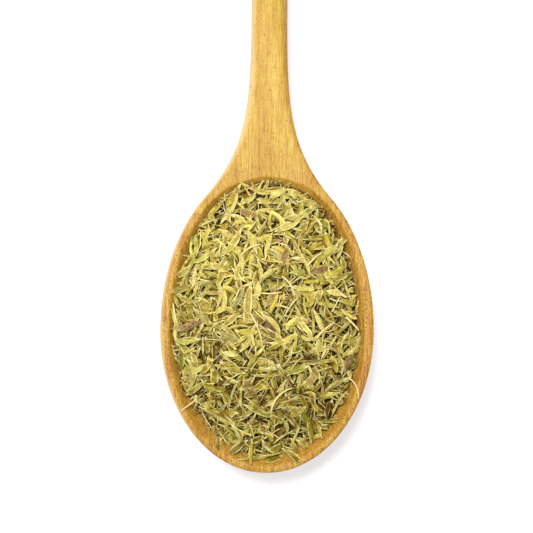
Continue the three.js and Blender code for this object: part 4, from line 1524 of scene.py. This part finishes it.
SHOWN_LEAVES = (
    # By the neck
    Shown((285, 188), (297, 198), Tone.LIGHT_GREEN, 1.9),
    Shown((251, 191), (270, 193), Tone.YELLOW_GREEN, 1.2, 0.4),
    Shown((255, 199), (272, 202), Tone.LIGHT_GREEN, 1.7),
    Shown((266, 203), (277, 194), Tone.OLIVE, 1.2),
    Shown((289, 199), (285, 219), Tone.LIGHT_GREEN, 1.5),
    Shown((302, 202), (299, 216), Tone.OLIVE, 1.9),
    Shown((280, 219.5), (298, 216), Tone.YELLOW_GREEN, 1.1),
    Shown((231, 226), (243, 219), Tone.LIGHT_GREEN, 1.2),
    Shown((273, 232), (292, 223), Tone.LIGHT_GREEN, 1.9),
    Shown((279, 232), (297, 240.5), Tone.CREAM, 0.9, 0.3),
    Shown((219, 225), (236.5, 193), Tone.YELLOW_GREEN, 1.6, -0.3),
    Shown((241, 205), (255, 194.5), Tone.YELLOW_GREEN, 1.7),
    Shown((241, 230), (227, 253), Tone.YELLOW_GREEN, 2.1, 0.2),
    Shown((302, 213), (318, 203.5), Tone.YELLOW_GREEN, 1.7),
    Shown((298, 200.5), (315, 201.5), Tone.LIGHT_GREEN, 1.3),
    Shown((318, 218), (329, 227), Tone.FRESH_GREEN, 1.8),
    Shown((308, 221), (296, 235), Tone.GREY_GREEN, 1.8),
    Shown((309.5, 213), (320.5, 236), Tone.CREAM, 0.7, 0.8),
    Shown((279, 182), (275, 211), Tone.CREAM, 0.7, 1.0),
    # Upper left
    Shown((191, 265), (176, 278), Tone.LIGHT_GREEN, 1.7),
    Shown((195, 266), (194, 285), Tone.CREAM, 1.2),
    Shown((195, 270), (213, 267), Tone.LIGHT_GREEN, 1.4),
    Shown((199, 272), (207, 279), Tone.AMBER, 0.9),
    Shown((213, 257), (226, 250), Tone.GREY_GREEN, 2.0),
    Shown((228, 260), (217, 287), Tone.YELLOW_GREEN, 1.9),
    Shown((239, 262), (236, 281), Tone.LIGHT_GREEN, 1.6),
    Shown((233, 275), (224, 287), Tone.AMBER, 1.1),
    Shown((258, 281), (258, 297), Tone.YELLOW_GREEN, 1.8),
    Shown((192, 307), (210, 326), Tone.GREY_GREEN, 1.3, 0.3),
    Shown((199, 320), (171, 329), Tone.TAN, 1.3, 0.6),
    Shown((170.5, 308), (176, 326), Tone.YELLOW_GREEN, 0.9),
    Shown((174, 309), (188, 318), Tone.LIGHT_GREEN, 1.0),
    Shown((178, 298), (191, 303), Tone.LIGHT_GREEN, 1.5),
    Shown((217, 248), (191, 264), Tone.LIGHT_GREEN, 1.9, 0.2),
    Shown((197, 254), (195.5, 234), Tone.FRESH_GREEN, 1.5),
    Shown((201, 249), (209, 227), Tone.AMBER, 1.2),
    Shown((217, 229), (233, 238), Tone.LIGHT_GREEN, 1.9),
    Shown((209, 263), (229, 272), Tone.LIGHT_GREEN, 1.9),
    Shown((191, 285), (170.5, 293), Tone.GREY_GREEN, 1.6),
    Shown((251, 281), (246, 325), Tone.YELLOW_GREEN, 2.1, -0.2),
    Shown((245, 286), (231, 308), Tone.GREY_GREEN, 1.8),
    # Upper right
    Shown((324, 231), (331, 247), Tone.OLIVE, 2.1),
    Shown((333, 255), (347, 238), Tone.YELLOW_GREEN, 1.9),
    Shown((338, 243), (323, 257), Tone.LIGHT_GREEN, 2.1),
    Shown((340.5, 255), (344.5, 268), Tone.LIGHT_GREEN, 1.3),
    Shown((289, 257.5), (306, 262), Tone.CREAM, 1.4),
    Shown((264, 248), (279, 257), Tone.CREAM, 1.5),
    Shown((270, 246.5), (287, 251.5), Tone.AMBER, 1.4),
    Shown((288, 273), (306, 272), Tone.FRESH_GREEN, 1.9),
    Shown((325, 258), (328, 281), Tone.LIGHT_GREEN, 1.3),
    Shown((314, 270), (325, 284), Tone.OLIVE, 1.8),
    Shown((354, 270), (331, 280), Tone.LIGHT_GREEN, 1.4),
    Shown((332, 284), (347, 297), Tone.CREAM, 0.9),
    Shown((336, 300), (357, 304), Tone.OLIVE, 1.7),
    Shown((340, 308), (357, 318), Tone.LIGHT_GREEN, 1.4),
    Shown((340, 307.5), (315, 301), Tone.LIGHT_GREEN, 1.3),
    Shown((297, 291), (311, 297), Tone.AMBER, 1.2),
    Shown((288, 286), (314, 289), Tone.LIGHT_GREEN, 1.6),
    Shown((320, 300), (320, 289), Tone.YELLOW_GREEN, 2.2),
    Shown((283, 317), (298, 297), Tone.CREAM, 0.7, 0.3),
    Shown((285, 326), (302, 318), Tone.LIGHT_GREEN, 1.4),
    Shown((312.5, 308), (324.5, 332), Tone.YELLOW_GREEN, 1.4),
    # Lower left
    Shown((203, 339), (174, 342), Tone.YELLOW_GREEN, 2.0, 0.1),
    Shown((220, 330), (240, 312), Tone.YELLOW_GREEN, 1.6),
    Shown((235, 331), (258, 332), Tone.AMBER, 1.6),
    Shown((217, 332), (239, 340), Tone.GREY_GREEN, 2.0),
    Shown((222, 352), (239, 355), Tone.CREAM, 1.4),
    Shown((190.5, 351), (198, 368), Tone.YELLOW_GREEN, 1.6, 0.3),
    Shown((184, 376), (181.5, 346), Tone.FRESH_GREEN, 1.6, 0.5),
    Shown((186, 357), (188, 391), Tone.YELLOW_GREEN, 1.8, 2.0),
    Shown((219, 361), (242, 370), Tone.OLIVE, 1.9),
    Shown((240, 352), (252, 338), Tone.LIGHT_GREEN, 1.4),
    Shown((213, 368), (216, 384), Tone.LIGHT_GREEN, 2.2),
    Shown((200, 379), (226, 391), Tone.OLIVE, 1.3, -0.4),
    Shown((196, 394), (199, 404), Tone.CREAM, 1.4),
    Shown((206, 402), (212, 411), Tone.LIGHT_GREEN, 2.0),
    Shown((220, 392), (231, 407), Tone.YELLOW_GREEN, 0.8, 0.3),
    Shown((198, 406.5), (233, 424), Tone.YELLOW_GREEN, 2.1, 0.3),
    Shown((231, 423), (243, 443), Tone.YELLOW_GREEN, 1.6, 0.7),
    Shown((243, 403), (272, 416), Tone.LIGHT_GREEN, 1.7),
    Shown((245, 396), (270, 413), Tone.LIGHT_GREEN, 1.0),
    Shown((243, 427), (265, 420), Tone.OLIVE, 1.2),
    Shown((250, 436), (257, 427), Tone.AMBER, 1.4),
    Shown((259, 426), (269, 432), Tone.YELLOW_GREEN, 2.3),
    Shown((266, 431), (273, 442), Tone.YELLOW_GREEN, 1.8),
    Shown((218, 436), (219, 452), Tone.FRESH_GREEN, 0.9),
    Shown((216, 427), (231, 446), Tone.YELLOW_GREEN, 1.2, 0.5),
    Shown((218, 424), (238, 437), Tone.LIGHT_GREEN, 1.0, 0.4),
    Shown((249, 439), (231, 453), Tone.GREY_GREEN, 2.0, 0.3),
    Shown((253, 437), (252.5, 466), Tone.AMBER, 1.3),
    Shown((238, 459), (272, 456), Tone.LIGHT_GREEN, 1.3),
    # Lower right
    Shown((359, 331), (358, 353), Tone.LIGHT_GREEN, 1.7),
    Shown((355, 347), (350, 359), Tone.YELLOW_GREEN, 1.9),
    Shown((344, 371), (359, 359), Tone.SHADE, 2.0),
    Shown((350, 333), (352, 347), Tone.OLIVE, 1.6),
    Shown((326, 345), (309, 352), Tone.YELLOW_GREEN, 1.5),
    Shown((304, 325), (314, 340), Tone.LIGHT_GREEN, 1.5),
    Shown((318, 338), (320, 348), Tone.YELLOW_GREEN, 1.9),
    Shown((309, 365), (286, 370), Tone.FRESH_GREEN, 2.3),
    Shown((266, 368), (281, 364), Tone.CREAM, 1.5),
    Shown((279, 362), (281, 380), Tone.LIGHT_GREEN, 1.4, 0.4),
    Shown((275, 371), (278, 389), Tone.OLIVE, 1.5),
    Shown((317, 364), (329, 366), Tone.AMBER, 1.4),
    Shown((267, 327), (286, 349), Tone.LIGHT_GREEN, 1.7, 0.3),
    Shown((331, 354), (337, 372), Tone.OLIVE, 1.5, 0.3),
    Shown((342, 375), (337, 352.5), Tone.LIGHT_GREEN, 1.2, -0.7),
    Shown((303, 379), (314, 391), Tone.YELLOW_GREEN, 2.1),
    Shown((301, 379), (298, 392), Tone.LIGHT_GREEN, 1.0),
    Shown((303, 392), (316, 395), Tone.AMBER, 1.5),
    Shown((336, 384), (346, 388), Tone.LIGHT_GREEN, 1.6),
    Shown((339, 397), (343, 404), Tone.CREAM, 1.6),
    Shown((307, 405), (291, 415), Tone.YELLOW_GREEN, 2.2),
    Shown((302, 412), (294, 430), Tone.OLIVE, 1.6),
    Shown((276, 414), (283, 423), Tone.OLIVE, 1.4),
    Shown((312, 397.5), (278.5, 401), Tone.YELLOW_GREEN, 1.5, -1.0),
    Shown((309, 391), (319, 412), Tone.AMBER, 1.1),
    Shown((333, 398), (328, 419), Tone.SHADE, 2.4),
    Shown((318, 421), (342, 418), Tone.LIGHT_GREEN, 1.2),
    Shown((318, 427), (331, 427), Tone.LIGHT_GREEN, 1.4),
    Shown((312, 445), (309, 415), Tone.OLIVE, 1.5),
    Shown((303, 434), (309, 441), Tone.YELLOW_GREEN, 2.0),
    Shown((313, 441), (322, 432), Tone.LIGHT_GREEN, 1.2),
    Shown((297, 439), (310, 448), Tone.LIGHT_GREEN, 1.5),
    Shown((292, 437), (298, 454), Tone.OLIVE, 1.2),
    Shown((268, 450), (284, 445.5), Tone.LIGHT_GREEN, 1.7),
    Shown((281, 447), (303.5, 463.5), Tone.YELLOW_GREEN, 1.8, -0.2),
    Shown((284.5, 455.5), (266, 461), Tone.LIGHT_GREEN, 1.8),
    Shown((349, 377), (324, 393), Tone.YELLOW_GREEN, 1.5, -0.4),
)


@dataclass
class LooseHeap:
    """The strewn leaves and bits, laid down in the order in which they pile up.

    A corner's colour is multiplied by the buried tint to a power, as painted shade: how far it is buried,
    or how deep it lies in a hollow of the pile. Bits deep in the heap and towards the tip are painted
    darker, and by the neck lighter, as painted shade and light. Depths and heights are in millimetres.
    """

    heap: Heap
    photo: Photo = field(default_factory=Photo)
    seed: int = 11
    blades: int = 58
    rolled: int = 46
    scraps: int = 26
    browned: int = 3
    twigs: int = 12
    slivers: int = 40
    flowers: int = 1
    batches: int = 40
    full: float = -0.1
    deep_share: float = 0.45
    deep_heights: tuple[float, float] = (-2.6, -0.5)
    shown_spread: float = 0.08
    shown_tips: float = 0.3
    buried: Colour = (0.2, 0.12, 0.005)
    buried_depths: tuple[float, float] = (0.03, 0.7)
    hollow_depths: tuple[float, float] = (-0.1, 0.7)
    hollow_share: float = 0.75
    tip_hollow: float = 0.3
    tip_hollow_y: tuple[float, float] = (-108.0, -92.0)
    # Where along the heap the painted light by the neck turns into painted shade at the tip, and the two
    # factors.
    painted_light_along_y: tuple[float, float] = (-114.0, -66.0)
    at_neck: float = 1.06
    at_tip: float = 0.83
    crumbs: int = 110

    def shown(self) -> Bits:
        """The leaves that show well in the photograph, not yet let down."""
        random = np.random.default_rng(self.seed + 1)
        bits = BLADES.draw(len(SHOWN_LEAVES), random)
        starts = np.array([self.photo.plan(*leaf.petiole) for leaf in SHOWN_LEAVES])
        ends = np.array([self.photo.plan(*leaf.tip) for leaf in SHOWN_LEAVES])
        bits.x, bits.y = ((starts + ends) / 2).T
        along = ends - starts
        bits.heading = np.arctan2(along[:, 1], along[:, 0])
        bits.length = np.hypot(along[:, 0], along[:, 1])
        bits.width = np.array([leaf.width for leaf in SHOWN_LEAVES])
        bits.bend = np.array([leaf.bend for leaf in SHOWN_LEAVES])
        bits.colour = np.array([leaf.tone.value for leaf in SHOWN_LEAVES])
        bits.colour = bits.colour * random.normal(1, self.shown_spread, (len(SHOWN_LEAVES), 1))
        bits.colour = bits.colour * random.normal(1, HUE_SPREAD, (len(SHOWN_LEAVES), 3))
        bits.tip_share = bits.tip_share * self.shown_tips
        return bits

    def painted_depth_shade(self, bits: Bits) -> Array:
        """The painted shade on a bit's colour: darkest deep in the heap, and darker towards the tip."""
        over = bits.level - self.heap.dome(bits.x, bits.y)
        return mix(self.deep_share, 1.0, smooth(over, *self.deep_heights)) * self.painted_light_along_heap(bits)

    def painted_light_along_heap(self, bits: Bits) -> Array:
        """Painted shade and light along the heap: darker at the tip, lighter by the neck."""
        return mix(self.at_tip, self.at_neck, smooth(bits.y, *self.painted_light_along_y))

    def shade(self, shell: Shell, pile: Pile) -> None:
        """Paints shade on corners under the pile's top or in a hollow of it, most of all by the tip."""
        x, y, z = shell.points.T
        buried = smooth(pile.at(x, y) - z, *self.buried_depths)
        by_tip = 1 - smooth(y, *self.tip_hollow_y)
        depth = pile.at(x, y, pile.evened()) - z + self.tip_hollow * by_tip
        hollow = smooth(depth, *self.hollow_depths) * mix(self.hollow_share, 1.0, by_tip)
        under = np.maximum(buried, hollow)[:, None]
        # Painted shade: colours are multiplied by the buried tint as far as a corner is covered or in a
        # hollow.
        shell.colours = shell.colours * np.array(self.buried) ** under

    def build(self, finishes: Mapping[str, bpy.types.Material]) -> Pile:
        """Strews everything in batches, so that all kinds lie among each other, and makes the pieces.

        Args:
            finishes: The materials by slot.

        Returns:
            The pile, on which loose pieces may lie.
        """
        random = np.random.default_rng(self.seed)
        pile = Pile(self.heap, random)
        plan = (
            ("rolled_leaves", ROLLED, STREWN_LEAF, self.rolled, "green_leaf"),
            ("broad_leaves", BLADES, STREWN_LEAF, self.blades, "green_leaf"),
            ("leaf_scraps", SCRAPS, STREWN_LEAF, self.scraps, "green_leaf"),
            ("browned_leaves", BROWNED, STREWN_LEAF, self.browned, "brown_leaf"),
            ("stalk_bits", TWIGS, STALK_BIT, self.twigs, "stalk"),
            ("pale_slivers", SLIVERS, STALK_BIT, self.slivers, "stalk"),
            ("flower_bits", FLOWERS, FLOWER_BIT, self.flowers, "brown_leaf"),
        )
        laid: dict[str, list[Bits]] = {name: [] for name, *_ in plan}
        for _ in range(self.batches):
            for name, kind, form, count, _slot in plan:
                bits = kind.draw(count, random)
                pile.strew(bits, form)
                laid[name].append(bits)
            if pile.over_dome().mean() > self.full:
                break
        over = pile.over_dome()
        log.info("heap over its dome: mean %.2f, highest %.2f mm", over.mean(), over.max())
        strewn = {name: Bits.joined(several) for name, several in laid.items()}
        log.info("strewn bits: %d", sum(len(bits.x) for bits in strewn.values()))
        crumbs = CRUMBS.draw(self.crumbs, random)
        pile.fringe(crumbs, STALK_BIT)
        crumb_shell = crumbs.shell(STALK_BIT)
        install(crumb_shell.to_piece("foot_crumbs"), "stalk", finishes["stalk"], "leaf_heap")
        for name, _kind, form, _count, slot in plan:
            bits = strewn[name]
            # Painted shade: bits deep in the heap and towards the tip are darker.
            bits.colour = bits.colour * self.painted_depth_shade(bits)[:, None]
            self.finish(bits, form, name, slot, pile, finishes)
        shown = self.shown()
        # Painted light by the neck and painted shade towards the tip.
        shown.colour = shown.colour * self.painted_light_along_heap(shown)[:, None]
        for k in range(len(shown.x)):
            pile.settle(shown, k, FINE_LEAF, 0.0)
        self.finish(shown, FINE_LEAF, "top_leaves", "green_leaf", pile, finishes)
        return pile

    def finish(
        self,
        bits: Bits,
        form: Form,
        name: str,
        slot: str,
        pile: Pile,
        finishes: Mapping[str, bpy.types.Material],
    ) -> None:
        """Makes one shaded piece of bits that have come to rest.

        Args:
            bits: The bits.
            form: Their form.
            name: The piece's name.
            slot: The record's material slot.
            pile: The pile that they lie in, which shades them.
            finishes: The materials by slot.
        """
        shell = bits.shell(form)
        self.shade(shell, pile)
        install(shell.to_piece(name), slot, finishes[slot], "leaf_heap")


@dataclass(frozen=True)
class LyingLeaf:
    """A browned leaf on the heap: where its petiole and its tip lie in plan."""

    petiole: tuple[float, float]
    tip: tuple[float, float]
    tone: Tone = Tone.BROWN
    width: float = 1.9


@dataclass(frozen=True)
class LyingStalk:
    """A bit of stalk: its ends and a place that it passes between them."""

    start: tuple[float, float]
    past: tuple[float, float]
    end: tuple[float, float]
    thick: float = 0.5
    tone: Tone = Tone.STRAW


@dataclass(frozen=True)
class ShootTip:
    """Leaves that still hold together at one place: the heading in degrees and the length of each."""

    place: tuple[float, float]
    leaves: tuple[tuple[float, float], ...]


BROWNED_LEAVES = (
    LyingLeaf((-8.6, -59.5), (-2.2, -60.9), Tone.TAN),
    LyingLeaf((-22.6, -89.9), (-16.2, -87.3), Tone.BROWN),
    LyingLeaf((-18.2, -84.2), (-13.6, -88.3), Tone.GREY_GREEN),
    LyingLeaf((-0.6, -85.6), (1.9, -90.9), Tone.PLUM, 2.0),
    LyingLeaf((2.2, -78.2), (0.4, -83.4), Tone.TAN),
    LyingLeaf((5.2, -68.2), (3.4, -73.6), Tone.TAN, 2.3),
    LyingLeaf((10.2, -75.6), (15.2, -73.6), Tone.BROWN),
    LyingLeaf((-5.9, -101.2), (-2.0, -106.6), Tone.BROWN),
    LyingLeaf((12.3, -98.0), (10.4, -103.0), Tone.TAN),
    LyingLeaf((3.5, -108.6), (8.8, -109.9), Tone.GREY_GREEN),
    LyingLeaf((19.4, -100.0), (21.4, -95.2), Tone.BROWN, 2.2),
)
STALKS = (
    LyingStalk((-17.4, -106.7), (-19.5, -108.6), (-21.5, -109.9), 0.36, Tone.CREAM),
    LyingStalk((20.2, -100.9), (22.3, -102.4), (23.0, -106.4), 0.4, Tone.CREAM),
    LyingStalk((11.9, -91.6), (14.6, -88.7), (17.1, -87.0)),
    LyingStalk((-6.6, -70.9), (-4.6, -68.8), (-1.6, -68.0)),
    LyingStalk((9.6, -73.6), (11.7, -71.2), (14.2, -69.5)),
    LyingStalk((-3.9, -90.1), (-3.5, -91.6), (-3.1, -93.3), 0.9, Tone.YELLOW_GREEN),
    LyingStalk((14.6, -93.1), (16.0, -93.8), (17.6, -94.7), 0.8, Tone.TAN),
    LyingStalk((1.1, -110.1), (2.0, -106.3), (6.4, -103.5)),
    LyingStalk((19.6, -85.9), (21.4, -87.6), (22.9, -89.3)),
    LyingStalk((-4.2, -85.0), (-2.2, -88.7), (-1.0, -93.3)),
    LyingStalk((-23.6, -82.6), (-23.1, -86.0), (-21.9, -89.3)),
    LyingStalk((3.6, -75.8), (5.9, -78.0), (6.9, -81.2)),
)
SHOOT_TIPS = (
    ShootTip((3.5, -55.0), ((106, 3.2), (-107, 5.2), (-80, 7.2), (-155, 5.0), (-38, 4.0), (40, 3.0))),
    ShootTip((8.1, -61.2), ((36, 5.6), (88, 4.0), (184, 5.0), (214, 7.6), (-14, 4.0))),
    ShootTip((7.9, -86.6), ((206, 5.0), (-51, 6.8), (-14, 4.2), (80, 3.2))),
)
LYING_STALK = rod_form(
    (0.004, 0.1, 0.25, 0.4, 0.55, 0.7, 0.85, 0.996), (0.92, 1, 0.94, 1, 0.96, 0.9, 0.84, 0.7), 8
)


@dataclass
class LoosePieces:
    """The browned leaves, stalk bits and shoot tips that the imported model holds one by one."""

    pile: Pile
    finishes: Mapping[str, bpy.types.Material]
    seed: int = 5
    behind: float = 1.5
    shoot_leaf_width: float = 1.45

    def build(self) -> None:
        """Lays each piece on the pile, in place of its solid."""
        random = np.random.default_rng(self.seed)
        for number, tip in enumerate(SHOOT_TIPS, 1):
            bits = BLADES.draw(len(tip.leaves), random)
            heading, length = np.array(tip.leaves, dtype=float).T
            bits.heading, bits.length = np.radians(heading), length
            reach = length / 2 - self.behind
            bits.x = tip.place[0] + np.cos(bits.heading) * reach
            bits.y = tip.place[1] + np.sin(bits.heading) * reach
            bits.width = self.shoot_leaf_width * random.uniform(0.8, 1.15, len(length))
            self.lay(bits, FINE_LEAF, "shoot_tip", number, "green_leaf")
        for number, leaf in enumerate(BROWNED_LEAVES, 1):
            bits = self.between(BROWNED.draw(1, random), leaf.petiole, leaf.tip)
            bits.width[:] = leaf.width
            bits.colour[:] = leaf.tone.value
            self.lay(bits, FINE_LEAF, "brown_leaf", number, "brown_leaf")
        for number, stalk in enumerate(STALKS, 1):
            bits = self.between(TWIGS.draw(1, random), stalk.start, stalk.end)
            off = np.array(stalk.past) - (np.array(stalk.start) + np.array(stalk.end)) / 2
            bits.bend[:] = off[1] * np.cos(bits.heading) - off[0] * np.sin(bits.heading)
            bits.width[:] = bits.thickness[:] = stalk.thick
            bits.colour[:] = stalk.tone.value
            self.lay(bits, LYING_STALK, "stalk", number, "stalk")

    def between(self, bits: Bits, start: tuple[float, float], end: tuple[float, float]) -> Bits:
        """Puts one bit between two places in plan."""
        (start_x, start_y), (end_x, end_y) = start, end
        bits.x[:], bits.y[:] = (start_x + end_x) / 2, (start_y + end_y) / 2
        bits.heading[:] = math.atan2(end_y - start_y, end_x - start_x)
        bits.length[:] = math.hypot(end_x - start_x, end_y - start_y)
        return bits

    def lay(self, bits: Bits, form: Form, kind: str, number: int, slot: str) -> None:
        """Lets bits down onto the pile and makes one piece of them.

        Args:
            bits: The bits, whose places in plan are set.
            form: Their form.
            kind: The solid's name without its number.
            number: Its number.
            slot: The record's material slot.
        """
        for k in range(len(bits.x)):
            self.pile.settle(bits, k, form, 0.0)
        node = f"{kind}_{number:02d}"
        low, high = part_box(node)
        middle = (low[2] + high[2]) / 2 / MM
        log.info("%s lies %.2f mm over its solid", node, bits.level.mean() - middle)
        install(bits.shell(form).to_piece(f"loose_{node}"), slot, self.finishes[slot], node)


# Studio


@dataclass
class Studio:
    """A near-white floor, soft light from the upper left and a camera that looks straight down."""

    view_width: float = 0.13325
    view_middle: tuple[float, float] = (-0.00023, -0.0735)
    rim_plane: float = 0.0196
    distance: float = 0.6
    roll_degrees: float = 0.46
    floor_size: float = 6.0
    floor_white: Colour = srgb(203, 203, 204)
    floor_glow: Colour = srgb(250, 250, 251)
    floor_glow_strength: float = 0.545
    surround_strength: float = 0.5
    lamp_place: tuple[float, float, float] = (-0.15, 0.22, 1.25)
    lamp_size: float = 0.32
    lamp_energy: float = 19.0

    def build(self) -> None:
        """Makes the floor, the light and the camera."""
        self.floor()
        self.lights()
        self.camera()

    def floor(self) -> None:
        """A plain floor just under the spoon."""
        half = self.floor_size / 2
        mesh = bpy.data.meshes.new("floor")
        corners = [(-half, -half, 0.0), (half, -half, 0.0), (half, half, 0.0), (-half, half, 0.0)]
        mesh.from_pydata(corners, [], [(0, 1, 2, 3)])
        floor = bpy.data.objects.new("floor", mesh)
        bpy.context.scene.collection.objects.link(floor)
        finish = Graph("white_floor").finish(
            Base_Color=self.floor_white,
            Roughness=0.9,
            Emission_Color=self.floor_glow,
            Emission_Strength=self.floor_glow_strength,
        )
        mesh.materials.append(finish)

    def lights(self) -> None:
        """A large soft light from the upper left and an even surrounding."""
        world = bpy.data.worlds.new("studio")
        world.use_nodes = True
        background = world.node_tree.nodes["Background"]
        background.inputs["Color"].default_value = (1.0, 1.0, 1.0, 1.0)
        background.inputs["Strength"].default_value = self.surround_strength
        bpy.context.scene.world = world
        lamp = bpy.data.lights.new("softbox", "AREA")
        lamp.shape = "SQUARE"
        lamp.size = self.lamp_size
        lamp.energy = self.lamp_energy
        softbox = bpy.data.objects.new("softbox", lamp)
        place = np.array(self.lamp_place)
        softbox.location = place
        direction = -place / np.linalg.norm(place)
        softbox.rotation_euler = (
            math.acos(-direction[2]),
            0.0,
            math.atan2(direction[1], direction[0]) - math.pi / 2,
        )
        bpy.context.scene.collection.objects.link(softbox)

    def camera(self) -> None:
        """A long lens straight above the bowl, turned by the photograph's slight roll."""
        data = bpy.data.cameras.new("camera")
        data.sensor_width = 36.0
        data.lens = data.sensor_width * self.distance / self.view_width
        data.clip_end = 50.0
        camera = bpy.data.objects.new("camera", data)
        camera.location = (*self.view_middle, self.rim_plane + self.distance)
        camera.rotation_euler = (0.0, 0.0, math.radians(self.roll_degrees))
        bpy.context.scene.collection.objects.link(camera)
        bpy.context.scene.camera = camera


def main() -> None:
    """Builds the pieces in order."""
    logging.basicConfig(level=logging.INFO, format="%(name)s: %(message)s")
    bpy.context.scene.view_settings.view_transform = "Standard"
    Studio().build()
    spoon = Spoon()
    install(spoon.shell().to_piece("carved_spoon"), "wood", HoneyWood().make(), "spoon")
    finishes = {
        "green_leaf": DriedLeaf("dried_green_leaf", srgb(244, 238, 168)).make(),
        "brown_leaf": DriedLeaf("browned_leaf", srgb(206, 180, 134), margin=0.35, grain=0.85).make(),
        "stalk": DryStalk().make(),
    }
    heap = Heap(spoon)
    # The bed under the leaves is near black: painted shade deep in the heap.
    install(heap.bed_shell().to_piece("crumb_bed"), "green_leaf", CrumbsInPaintedShade().make(), "leaf_heap")
    LoosePieces(LooseHeap(heap).build(finishes), finishes).build()


if __name__ == "__main__":
    main()
